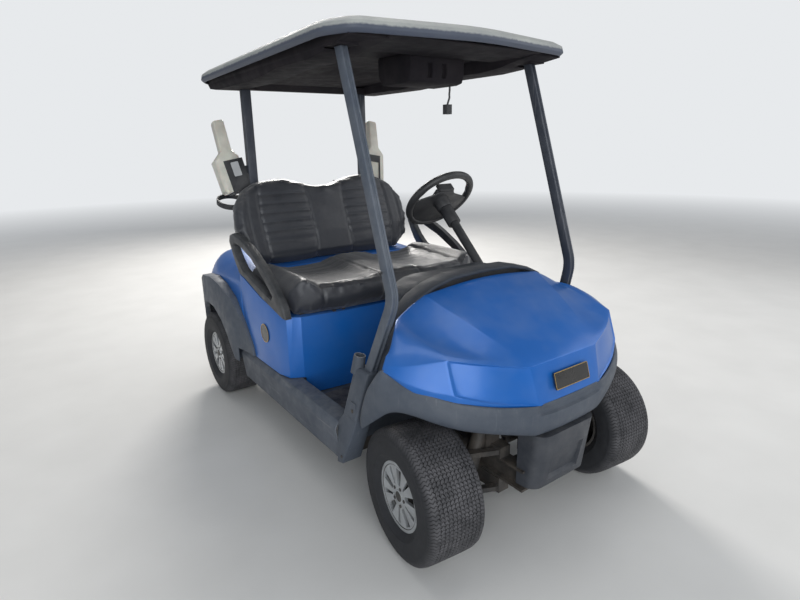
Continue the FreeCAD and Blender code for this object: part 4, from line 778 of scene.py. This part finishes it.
bootLook = {"low": (533, -647, 420), "high": (497, -676, 600), "lowHalf": (27, 42), "highHalf": (24, 44),
            "edge": 9}
socketLook = {"top": (500, -640, 640), "foot": (508, -632, 575), "radius": 21, "flare": 3, "wall": 5,
              "deep": 40}


def makeBoot(side, name):
    bm = bmesh.new()
    made = bmesh.ops.create_cube(bm, size=2)
    for vert in made["verts"]:
        end = "high" if vert.co.z > 0 else "low"
        x, y, z = bootLook[end]
        halfX, halfY = bootLook[end + "Half"]
        vert.co = Vector((side * (x + halfX * vert.co.x), y + halfY * vert.co.y, z)) * mm
    bmesh.ops.recalc_face_normals(bm, faces=bm.faces)
    bevel(bm, bm.edges[:], bootLook["edge"] * mm, 3)
    finishPiece("strutBoot" + name, bm, "strut_base_" + name.lower(), "trimGrey", 40, False)


def makeSocket(side, name):
    look = socketLook
    top, foot = (Vector((side * x, y, z)) for x, y, z in (look["top"], look["foot"]))
    bm = bmesh.new()
    bmesh.ops.create_cone(bm, cap_ends=True, segments=32, radius1=look["radius"] + look["flare"],
                          radius2=look["radius"], depth=(top - foot).length)
    cap = max(bm.faces, key=lambda f: f.calc_center_median().z)
    inset(bm, [cap], look["wall"])
    inset(bm, [cap], 1, -look["deep"])
    cap.material_index = 1
    setDown(bm, moved((top + foot) / 2) @ turnTo(top - foot))
    finishPiece("strutSocket" + name, bm, "strut_base_" + name.lower(), "trimGrey plasticBlack", 40, False)


for side, name in sides:
    makeBoot(side, name)
    makeSocket(side, name)


# wheels

wheelSizes = {"tyreRadius": 228.6, "steer": -5.9, "frontTrack": 876, "rearTrack": 978, "frontAxle": -910,
              "rearAxle": 754, "kingpin": 340, "spinSteps": 180, "ribs": 11, "ribPitch": 14.5,
              "grooveWidth": 3.2, "grooveDepth": 4.5, "grooveFloor": 0.6, "zigzag": 2.4, "crownDrop": 1.8,
              "crownHalf": 86, "spokeEdge": 1.2, "darkBelow": 68, "darkWithin": 112}
# the tyre's outer side from the bead to the tread: place across, radius
tyreSide = [(87.912, 118.3), (93.312, 124), (98.28, 131), (103.248, 140), (104.544, 142), (105.84, 142.5),
            (106.704, 150), (107.784, 162), (108, 174), (107.136, 186), (105.408, 195), (105.624, 196.5),
            (103.248, 204), (99.792, 212), (96.336, 217.6), (92.448, 222), (88.992, 224.6)]
# the wheel cover's dark centre cap, its nuts and the dark groove round its edge
coverLook = {"face": 87.0, "cap": 19, "capTaper": 2, "capDepth": 5, "capEdge": 1, "nuts": 5, "nut": 5.5,
             "nutDepth": 3, "nutCircle": 33, "ring": 107, "ringWidth": 1.6, "ringSunk": 1, "ringSteps": 72}


# the node of a kind at a corner such as FrontLeft
def wheelNode(kind, corner):
    return kind + "".join("_" + letter.lower() if letter.isupper() else letter for letter in corner)


# section of the tyre from the outer bead over the tread to the inner bead, and its points in the grooves
def tyreProfile():
    sizes = wheelSizes
    half = sizes["grooveWidth"] / 2
    tread = []
    for index in range(sizes["ribs"]):
        across = sizes["ribPitch"] * ((sizes["ribs"] - 1) / 2 - index)
        crown = sizes["tyreRadius"] - sizes["crownDrop"] * (abs(across) / sizes["crownHalf"]) ** 3
        floor, lower = crown - sizes["grooveDepth"], sizes["grooveFloor"] * half
        tread += [(across + half, crown), (across + lower, floor)]
        tread += [(across - lower, floor), (across - half, crown)]
    return tyreSide + tread + [(-across, reach) for across, reach in reversed(tyreSide)], tread


def makeTyre(end, side, corner):
    sizes = wheelSizes
    bm = bmesh.new()
    profile, tread = tyreProfile()
    ring = [bm.verts.new((across, 0, reach)) for across, reach in profile]
    for pair in zip(ring, ring[1:]):
        bm.edges.new(pair)
    steps = sizes["spinSteps"]
    spin(bm, ring, (1, 0, 0), steps)
    bmesh.ops.recalc_face_normals(bm, faces=bm.faces)
    grooved = {(round(across, 2), round(reach, 2)) for across, reach in tread}
    for vert in bm.verts:
        reach = math.hypot(vert.co.y, vert.co.z)
        step = round(math.atan2(vert.co.y, vert.co.z) / (2 * math.pi / steps))
        if (round(vert.co.x, 2), round(reach, 2)) in grooved:
            vert.co.x += sizes["zigzag"] * (1 if step % 2 else -1)
    place = moved((side * sizes[end + "Track"] / 2, sizes[end + "Axle"], sizes["tyreRadius"]))
    turn = math.radians(sizes["steer"]) if end == "front" else 0.0
    pin = Vector((side * sizes["kingpin"], sizes["frontAxle"], 0))
    place = moved(pin) @ Matrix.Rotation(turn, 4, "Z") @ moved(-pin) @ place
    setDown(bm, place)
    finish["rubber" + corner] = tyreMaterial("rubber" + corner, place.translation * mm, turn)
    finishPiece("tyre" + corner, bm, wheelNode("tyre", corner), "rubber" + corner, 30)
    return place


def makeRim(corner, side, place):
    bm = nodeCopy(wheelNode("rim", corner))
    roundEdges(bm, wheelSizes["spokeEdge"] * mm, 2, 30)
    back = (Matrix.Scale(mm, 4) @ place).inverted()
    for face in bm.faces:
        spot = back @ face.calc_center_median()
        deep = side * spot.x < wheelSizes["darkBelow"]
        face.material_index = int(deep and math.hypot(spot.y, spot.z) < wheelSizes["darkWithin"])
    finishPiece("rim" + corner, bm, wheelNode("rim", corner), "wheelSilver wheelDark", 30)


def makeCover(corner, side, place):
    look = coverLook
    bm = bmesh.new()
    face = moved((side * look["face"], 0, 0)) @ turned(side * 90, "Y")
    bmesh.ops.create_cone(bm, cap_ends=True, segments=36, radius1=look["cap"],
                          radius2=look["cap"] - look["capTaper"], depth=look["capDepth"], matrix=face)
    bevel(bm, rimsOf(bm.edges), look["capEdge"], 2)
    for index in range(look["nuts"]):
        angle = 2 * math.pi * (index + 0.5) / look["nuts"]
        spot = Vector((0, math.cos(angle), math.sin(angle))) * look["nutCircle"]
        bmesh.ops.create_cone(bm, cap_ends=True, segments=16, radius1=look["nut"], radius2=look["nut"],
                              depth=look["nutDepth"], matrix=moved(spot) @ face)
    spot = moved((side * (look["face"] - look["ringSunk"]), look["ring"], 0))
    ring = bmesh.ops.create_circle(bm, segments=10, radius=look["ringWidth"], cap_ends=False, matrix=spot)
    spin(bm, ring["verts"], (1, 0, 0), look["ringSteps"])
    bmesh.ops.recalc_face_normals(bm, faces=bm.faces)
    setDown(bm, place)
    finishPiece("cover" + corner, bm, wheelNode("rim", corner), "wheelDark", 40, False)


for end in ("front", "rear"):
    for side, name in reversed(sides):
        corner = end.capitalize() + name
        place = makeTyre(end, side, corner)
        makeRim(corner, side, place)
        makeCover(corner, side, place)
print("wheels made")


# seat: soft solids blown up as stuffed cloth, no point moved by more than the cap

stuffing = {"shrink": 0.006, "pressure": 4.0, "cap": 0.012, "voxel": 0.0075, "tension": 12, "quality": 3,
            "steps": 12, "fill": 0.8, "smooth": 60}


def evaluated(holder):
    view = bpy.context.evaluated_depsgraph_get()
    return bpy.data.meshes.new_from_object(holder.evaluated_get(view))


def inflated(node):
    bm = nodeCopy(node)
    mesh = bpy.data.meshes.new(node + "Start")
    bm.to_mesh(mesh)
    bm.free()
    pad = bpy.data.objects.new(node + "Start", mesh)
    scene.collection.objects.link(pad)
    remesh = pad.modifiers.new("remesh", "REMESH")
    remesh.mode = "VOXEL"
    remesh.voxel_size = stuffing["voxel"]
    blown = evaluated(pad)
    pad.modifiers.clear()
    pad.data = blown
    start = bmesh.new()
    start.from_mesh(blown)
    start.normal_update()
    for vert in start.verts:
        vert.co -= vert.normal * stuffing["shrink"]
    start.to_mesh(blown)
    start.free()
    rest = [v.co.copy() for v in blown.vertices]
    cloth = pad.modifiers.new("cloth", "CLOTH")
    cloth.settings.use_pressure = True
    cloth.settings.uniform_pressure_force = stuffing["pressure"]
    cloth.settings.effector_weights.gravity = 0
    cloth.settings.tension_stiffness = stuffing["tension"]
    cloth.settings.quality = stuffing["quality"]
    for step in range(stuffing["steps"]):
        scene.frame_set(step + 1)
    blown = evaluated(pad)
    for vert, old in zip(blown.vertices, rest):
        move = vert.co - old
        if move.length > stuffing["cap"]:
            vert.co = old + move.normalized() * stuffing["cap"]
    scene.frame_set(1)
    result = bmesh.new()
    result.from_mesh(blown)
    bpy.data.objects.remove(pad)
    return result


def bell(distance, width):
    return math.exp(-(distance / width) ** 2)


def within(value):
    return max(0.0, min(1.0, value))


# how near a value is to the closest of the seams that share out a span
def seamOffset(value, low, high, count):
    pitch = (high - low) / count
    return value - low - round((value - low) / pitch) * pitch


def finishPad(name, bm, node):
    bmesh.ops.smooth_vert(bm, verts=bm.verts, factor=0.5, use_axis_x=True, use_axis_y=True, use_axis_z=True)
    finishPiece(name, bm, node, "seatVinyl", stuffing["smooth"])


cushionLook = {"channelFrom": 70, "channelTo": 300, "channels": 4, "beyond": 4, "outerSeam": 396,
               "innerSeam": 96, "seamLean": 0.04, "seamMiddle": 50, "seam": 5, "depth": 8,
               "channelDepth": 0.5, "above": 668, "top": 740, "edgeFrom": 700, "edgeOver": 60,
               "bolster": 455, "bolsterWidth": 34, "ridgeWidth": 52, "hump": 14, "humpFrom": -260,
               "pan": 246, "panHalf": 150, "dish": 10, "dishFrom": -130, "fadeOver": 120,
               "frontRoll": 8, "rollAt": -165, "rollWidth": 40,
               "frontSeam": -187, "frontBow": 46, "frontHalf": 500, "frontTop": 745, "frontDepth": 0.45}
backLook = {"channels": 6, "low": 838, "high": 1098, "beyond": 8, "outerSeam": 380, "innerSeam": 100,
            "edgeSeam": 446, "edgeDepth": 0.7, "edgeBow": 1.4, "seam": 5, "depth": 8, "channelDepth": 0.62,
            "bow": 0.00045, "bowMiddle": 960, "bottomFrom": 900, "bottomDrop": 0.45, "bottom": 764,
            "bottomRise": 0.2, "bottomOld": 790, "dipFrom": 1080, "dip": 14, "dipWidth": 34, "pillow": 7}


def shapeCushion():
    look = cushionLook
    first, last, beyond = look["channelFrom"], look["channelTo"], look["beyond"]
    bm = inflated("seat_cushion")
    for vert in bm.verts:
        x, y, z = (c / mm for c in vert.co)
        if z < look["above"]:
            continue
        across = abs(x)
        lean = look["seamLean"] * (y - look["seamMiddle"])
        outer, inner = look["outerSeam"] + lean, look["innerSeam"] - lean
        sink = bell(across - outer, look["seam"]) + bell(across - inner, look["seam"])
        if z > look["top"]:
            bolster = bell(across - look["bolster"], look["bolsterWidth"]) + bell(across, look["ridgeWidth"])
            pan = max(0.0, 1 - ((across - look["pan"]) / look["panHalf"]) ** 2)
            vert.co.z += mm * (look["hump"] * bolster * min(1.0, (y - look["humpFrom"]) / look["fadeOver"])
                               - look["dish"] * pan * within((y - look["dishFrom"]) / look["fadeOver"])
                               + look["frontRoll"] * bell(y - look["rollAt"], look["rollWidth"]) * pan)
            if inner < across < outer and first - beyond < y < last + beyond:
                offset = seamOffset(y, first, last, look["channels"])
                sink += look["channelDepth"] * bell(offset, look["seam"])
        if z > look["frontTop"]:
            front = look["frontSeam"] + look["frontBow"] * (across / look["frontHalf"]) ** 2
            flat = within((z - look["edgeFrom"]) / look["edgeOver"])
            sink += look["frontDepth"] * bell(y - front, look["seam"]) * flat
        vert.co -= vert.normal * min(sink, 1.0) * look["depth"] * mm
    finishPad("seatCushionPad", bm, "seat_cushion")


def shapeBack():
    look = backLook
    bm = inflated("seat_back")
    for vert in bm.verts:
        x, z = vert.co.x / mm, vert.co.z / mm
        across = abs(x)
        if z < look["bottomFrom"]:
            lowest = look["bottom"] + look["bottomRise"] * (z - look["bottomOld"])
            vert.co.z = max(z - (look["bottomFrom"] - z) * look["bottomDrop"], lowest) * mm
        if z > look["dipFrom"]:
            vert.co.z += look["dip"] * bell(x, look["dipWidth"]) * mm
        if vert.normal.y > -0.2:
            continue
        bow = look["bow"] * (z - look["bowMiddle"]) ** 2
        outer, inner = look["outerSeam"] - bow, look["innerSeam"] + bow
        sink = bell(across - outer, look["seam"]) + bell(across - inner, look["seam"])
        sink += look["edgeDepth"] * bell(across - look["edgeSeam"] + look["edgeBow"] * bow, look["seam"])
        pillow = max(0.0, 1 - ((across - (outer + inner) / 2) / ((outer - inner) / 2)) ** 2)
        vert.co += vert.normal * look["pillow"] * pillow * mm
        if inner < across < outer and look["low"] - look["beyond"] < z < look["high"] + look["beyond"]:
            offset = seamOffset(z, look["low"], look["high"], look["channels"])
            sink += look["channelDepth"] * bell(offset, look["seam"])
        vert.co -= vert.normal * min(sink, 1.0) * look["depth"] * mm
    finishPad("seatBackPad", bm, "seat_back")


shapeCushion()
shapeBack()
print("seat shaped")


# steering wheel and the sleeve round its column, laid about the wheel's middle with the column along -Z

wheelLook = {"centre": (290, -120, 1078), "lean": 46, "radius": 162, "section": 17, "steps": 96,
             "swell": 4.8, "swellAt": 24, "swellWidth": 7, "ripple": 0.5, "ripples": 40}
plateLook = {"line": [(150, -12), (60, -44), (44, -62), (-44, -62), (-60, -44), (-150, -12), (-152, 30),
                      (-104, 116), (-40, 150), (40, 150), (104, 116), (152, 30)],
             "low": -13, "wall": 9, "edge": 3, "blockEdge": 5,
             "blocks": (((104, 132, 20), (0, 4, 2)), ((88, 18, 40), (0, -67, 10)))}
hubLook = {"low": 36, "high": 41, "depth": 60, "middle": -32, "edge": 3}
sleeveLook = {"low": 19, "high": 21, "depth": 300, "middle": -300, "edge": 3}


def onColumn():
    return moved(wheelLook["centre"]) @ turned(-wheelLook["lean"], "X")


def addCone(bm, look):
    cone = bmesh.ops.create_cone(bm, cap_ends=True, segments=40, radius1=look["low"], radius2=look["high"],
                                 depth=look["depth"], matrix=moved((0, 0, look["middle"])))
    bevel(bm, rimsOf(edgesOf(cone["verts"])), look["edge"], 2)


def makeSteeringRim():
    look = wheelLook
    bm = bmesh.new()
    spot = moved((look["radius"], 0, 0)) @ turned(90, "X")
    ring = bmesh.ops.create_circle(bm, segments=20, radius=look["section"], cap_ends=False, matrix=spot)
    spin(bm, ring["verts"], (0, 0, 1), look["steps"])
    for vert in bm.verts:
        reach = math.hypot(vert.co.x, vert.co.y)
        turn = math.degrees(math.atan2(-vert.co.y, abs(vert.co.x)))
        inner = max(0.0, (look["radius"] - reach) / look["section"])
        swell = look["swell"] * bell(turn - look["swellAt"], look["swellWidth"])
        ripple = look["ripple"] * math.sin(math.radians(turn) * look["ripples"])
        pull = 1 - (swell + ripple) * inner / reach
        vert.co.x *= pull
        vert.co.y *= pull
    bmesh.ops.recalc_face_normals(bm, faces=bm.faces)
    setDown(bm, onColumn())
    finishPiece("steeringRim", bm, "steering_wheel", "gripBlack")


def makeSteeringPlate():
    look = plateLook
    bm = bmesh.new()
    base = bm.faces.new([bm.verts.new((x, y, look["low"])) for x, y in look["line"]])
    body = bmesh.ops.extrude_face_region(bm, geom=[base])
    raised = [v for v in body["geom"] if isinstance(v, bmesh.types.BMVert)]
    bmesh.ops.translate(bm, verts=raised, vec=(0, 0, look["wall"]))
    bmesh.ops.recalc_face_normals(bm, faces=bm.faces)
    roundEdges(bm, look["edge"], 3, 40)
    for size, spot in look["blocks"]:
        place = moved(spot) @ Matrix.Diagonal((*size, 1))
        block = bmesh.ops.create_cube(bm, size=1, matrix=place)
        bevel(bm, edgesOf(block["verts"]), look["blockEdge"], 3, True)
    addCone(bm, hubLook)
    setDown(bm, onColumn())
    finishPiece("steeringPlate", bm, "steering_wheel", "gripBlack", replace=False)


makeSteeringRim()
makeSteeringPlate()
print("steering wheel made")


# small pieces: the blank disc on the body's side, blank plates, screws and a black dome of painted shade for
# a hole in each front strut, which face a little upwards

discLook = {"centre": (-556.3, 83, 529), "facing": (-1, 0, 0), "radius": 43, "depth": 2.2, "rim": 4,
            "lip": 0.6, "dip": 0.88}
plates = {"corner": 4, "lip": 0.4, "dip": 0.6, "tilt": 0.1,
          "nose": {"centre": (0, -1141, 604), "lean": math.atan2(33, 106), "size": (170, 56, 5), "edge": 2.6},
          "boot": {"centre": (551.5, -664, 452), "size": (34, 62, 4), "edge": 2.2},
          "label": {"centre": (-358.3, 640, 1200), "sideways": -10, "back": -14, "offset": (-52, -4.6, 34),
                    "size": (40, 72, 1.2), "edge": 1}}
domes = {"bootScrew": ((554, -664, 452), 7, "frameBlack"),
          "sillScrew": ((568.5, -598, 246), 6, "frameBlack"),
          # painted shade: strutHole is a small black dome standing for a shaded hole in the strut
          "strutHole": ((466.5, -738, 943), 5, "plasticBlack")}
domeHeight = 0.45


# a flat round piece with a raised rim in its second material
def makeDisc():
    look = discLook
    bm = bmesh.new()
    bmesh.ops.create_circle(bm, cap_ends=True, segments=48, radius=look["radius"])
    up = bmesh.ops.extrude_face_region(bm, geom=bm.faces[:])
    top = [f for f in up["geom"] if isinstance(f, bmesh.types.BMFace)]
    bmesh.ops.translate(bm, verts=top[0].verts[:], vec=(0, 0, look["depth"]))
    for face in inset(bm, top, look["rim"]):
        face.material_index = 1
    inset(bm, top, look["lip"], -look["dip"])
    bmesh.ops.recalc_face_normals(bm, faces=bm.faces)
    setDown(bm, moved(look["centre"]) @ turnTo(look["facing"]))
    finishPiece("sideDisc", bm, "strut_base_right", "plateBlack goldEdge", 30, False)


# a thin plate with a framed edge in its second material
def makePlate(name, look, place, node, materials, replace=False):
    bm = bmesh.new()
    bmesh.ops.create_cube(bm, size=1, matrix=Matrix.Diagonal((*look["size"], 1)))
    corners = [e for e in bm.edges if abs(e.verts[0].co.z - e.verts[1].co.z) > 0.1]
    bevel(bm, corners, plates["corner"], 3)
    front = max(bm.faces, key=lambda f: f.normal.z * f.calc_area())
    for face in inset(bm, [front], look["edge"]):
        face.material_index = 1
    inset(bm, [front], plates["lip"], -plates["dip"])
    bmesh.ops.recalc_face_normals(bm, faces=bm.faces)
    setDown(bm, place)
    finishPiece(name, bm, node, materials, 30, replace)


def makeDome(name, centre, normal, radius, material):
    bm = bmesh.new()
    bmesh.ops.create_uvsphere(bm, u_segments=16, v_segments=8, radius=radius)
    cutAlong(bm, (0, 0, 0), (0, 0, 1), clear_inner=True)
    for vert in bm.verts:
        vert.co.z *= domeHeight
    setDown(bm, moved(centre) @ turnTo(normal))
    finishPiece(name, bm, "rear_axle", material, 60, False)


def makeSmallPieces():
    makeDisc()
    nose, boot, label = plates["nose"], plates["boot"], plates["label"]
    place = moved(nose["centre"]) @ Matrix.Rotation(math.pi / 2 - nose["lean"], 4, "X")
    makePlate("nosePlate", nose, place, "nameplate", "plateBlack goldEdge", True)
    for side, name in sides:
        outward = (side, 0, plates["tilt"])
        x, y, z = boot["centre"]
        place = moved((side * x, y, z)) @ turnTo(outward)
        makePlate("bootPlate" + name, boot, place, "strut_base_" + name.lower(), "trimGrey rockerGrey")
        for dome, ((x, y, z), radius, material) in domes.items():
            makeDome(dome + name, (side * x, y, z), outward, radius, material)
    turn = turned(label["sideways"], "Y")
    turn = turn @ turned(label["back"], "X")
    place = moved(label["centre"]) @ turn @ moved(label["offset"])
    makePlate("holderLabel", label, place @ turned(90, "X"), "sand_bottle_holder_right",
              "labelGrey labelGrey")
    bm = bmesh.new()
    addCone(bm, sleeveLook)
    setDown(bm, onColumn())
    finishPiece("columnSleeve", bm, "steering_column", "plasticBlack", 40, False)


makeSmallPieces()
print("small pieces made")


# floor, backdrop and lights

backdrop = {"colour": (0.80, 0.82, 0.84), "reach": 40, "fadeFrom": 5.0, "fadeTo": 13.0,
            "floor": (0.66, 0.655, 0.64), "floorShade": (0.7, 0.695, 0.68), "rough": 0.8,
            "sky": (0.86, 0.92, 1), "skyLight": 0.26}
# place, aim, size, power and colour of each lamp
lamps = {"overhead": ((0.5, 0.8, 5.2), (0, 0, 0.6), 4.5, 105, (1, 0.99, 0.97)),
         "behind": ((2.2, 5.0, 3.6), (0, 0, 0.9), 2.2, 300, (1, 0.97, 0.93)),
         "front": ((-3.2, -5.6, 2.4), (0, 0, 0.6), 5.0, 270, (0.95, 0.98, 1)),
         "left": ((4.2, -2.8, 2.6), (0, 0, 0.7), 3.5, 60, (0.97, 0.98, 1))}


def mixShaders(tree, share, first, second, output):
    mix = put(tree, "MixShader", {0: share, 1: first, 2: second})
    tree.links.new(mix.outputs[0], tree.nodes[output].inputs["Surface"])


def makeFloor():
    bm = bmesh.new()
    bmesh.ops.create_grid(bm, x_segments=2, y_segments=2, size=backdrop["reach"])
    mesh = bpy.data.meshes.new("floor")
    bm.to_mesh(mesh)
    bm.free()
    floor = bpy.data.objects.new("floor", mesh)
    scene.collection.objects.link(floor)
    material, tree, shader, place = startMaterial("floorPale")
    specks = ramp(tree, noise(tree, place, 3, 8), 0.3, 0.7)
    setShader(tree, shader, Base_Color=mixColour(tree, specks, backdrop["floor"], backdrop["floorShade"]),
              Roughness=backdrop["rough"])
    distance = put(tree, "VectorMath", {0: place}, operation="LENGTH").outputs["Value"]
    glow = put(tree, "Emission", {"Color": (*backdrop["colour"], 1)})
    far = ramp(tree, distance, backdrop["fadeFrom"], backdrop["fadeTo"])
    mixShaders(tree, far, shader.outputs[0], glow.outputs[0], "Material Output")
    mesh.materials.append(material)


def makeLights():
    world = bpy.data.worlds.new("studio")
    scene.world = world
    world.use_nodes = True
    tree = world.node_tree
    light = tree.nodes["Background"]
    light.inputs["Color"].default_value = (*backdrop["sky"], 1)
    light.inputs["Strength"].default_value = backdrop["skyLight"]
    seen = put(tree, "Background", {"Color": (*backdrop["colour"], 1), "Strength": 1.0})
    direct = put(tree, "LightPath").outputs["Is Camera Ray"]
    mixShaders(tree, direct, light.outputs[0], seen.outputs[0], "World Output")
    for name, (place, aim, size, power, colour) in lamps.items():
        data = bpy.data.lights.new(name, "AREA")
        data.shape = "SQUARE"
        data.size = size
        data.energy = power
        data.color = colour
        lamp = bpy.data.objects.new(name, data)
        scene.collection.objects.link(lamp)
        turn = (Vector(aim) - Vector(place)).to_track_quat("-Z", "Y").to_matrix().to_4x4()
        lamp.matrix_world = moved(place) @ turn


makeFloor()
makeLights()
scene.view_settings.view_transform = "Standard"
print("stage and lights set")
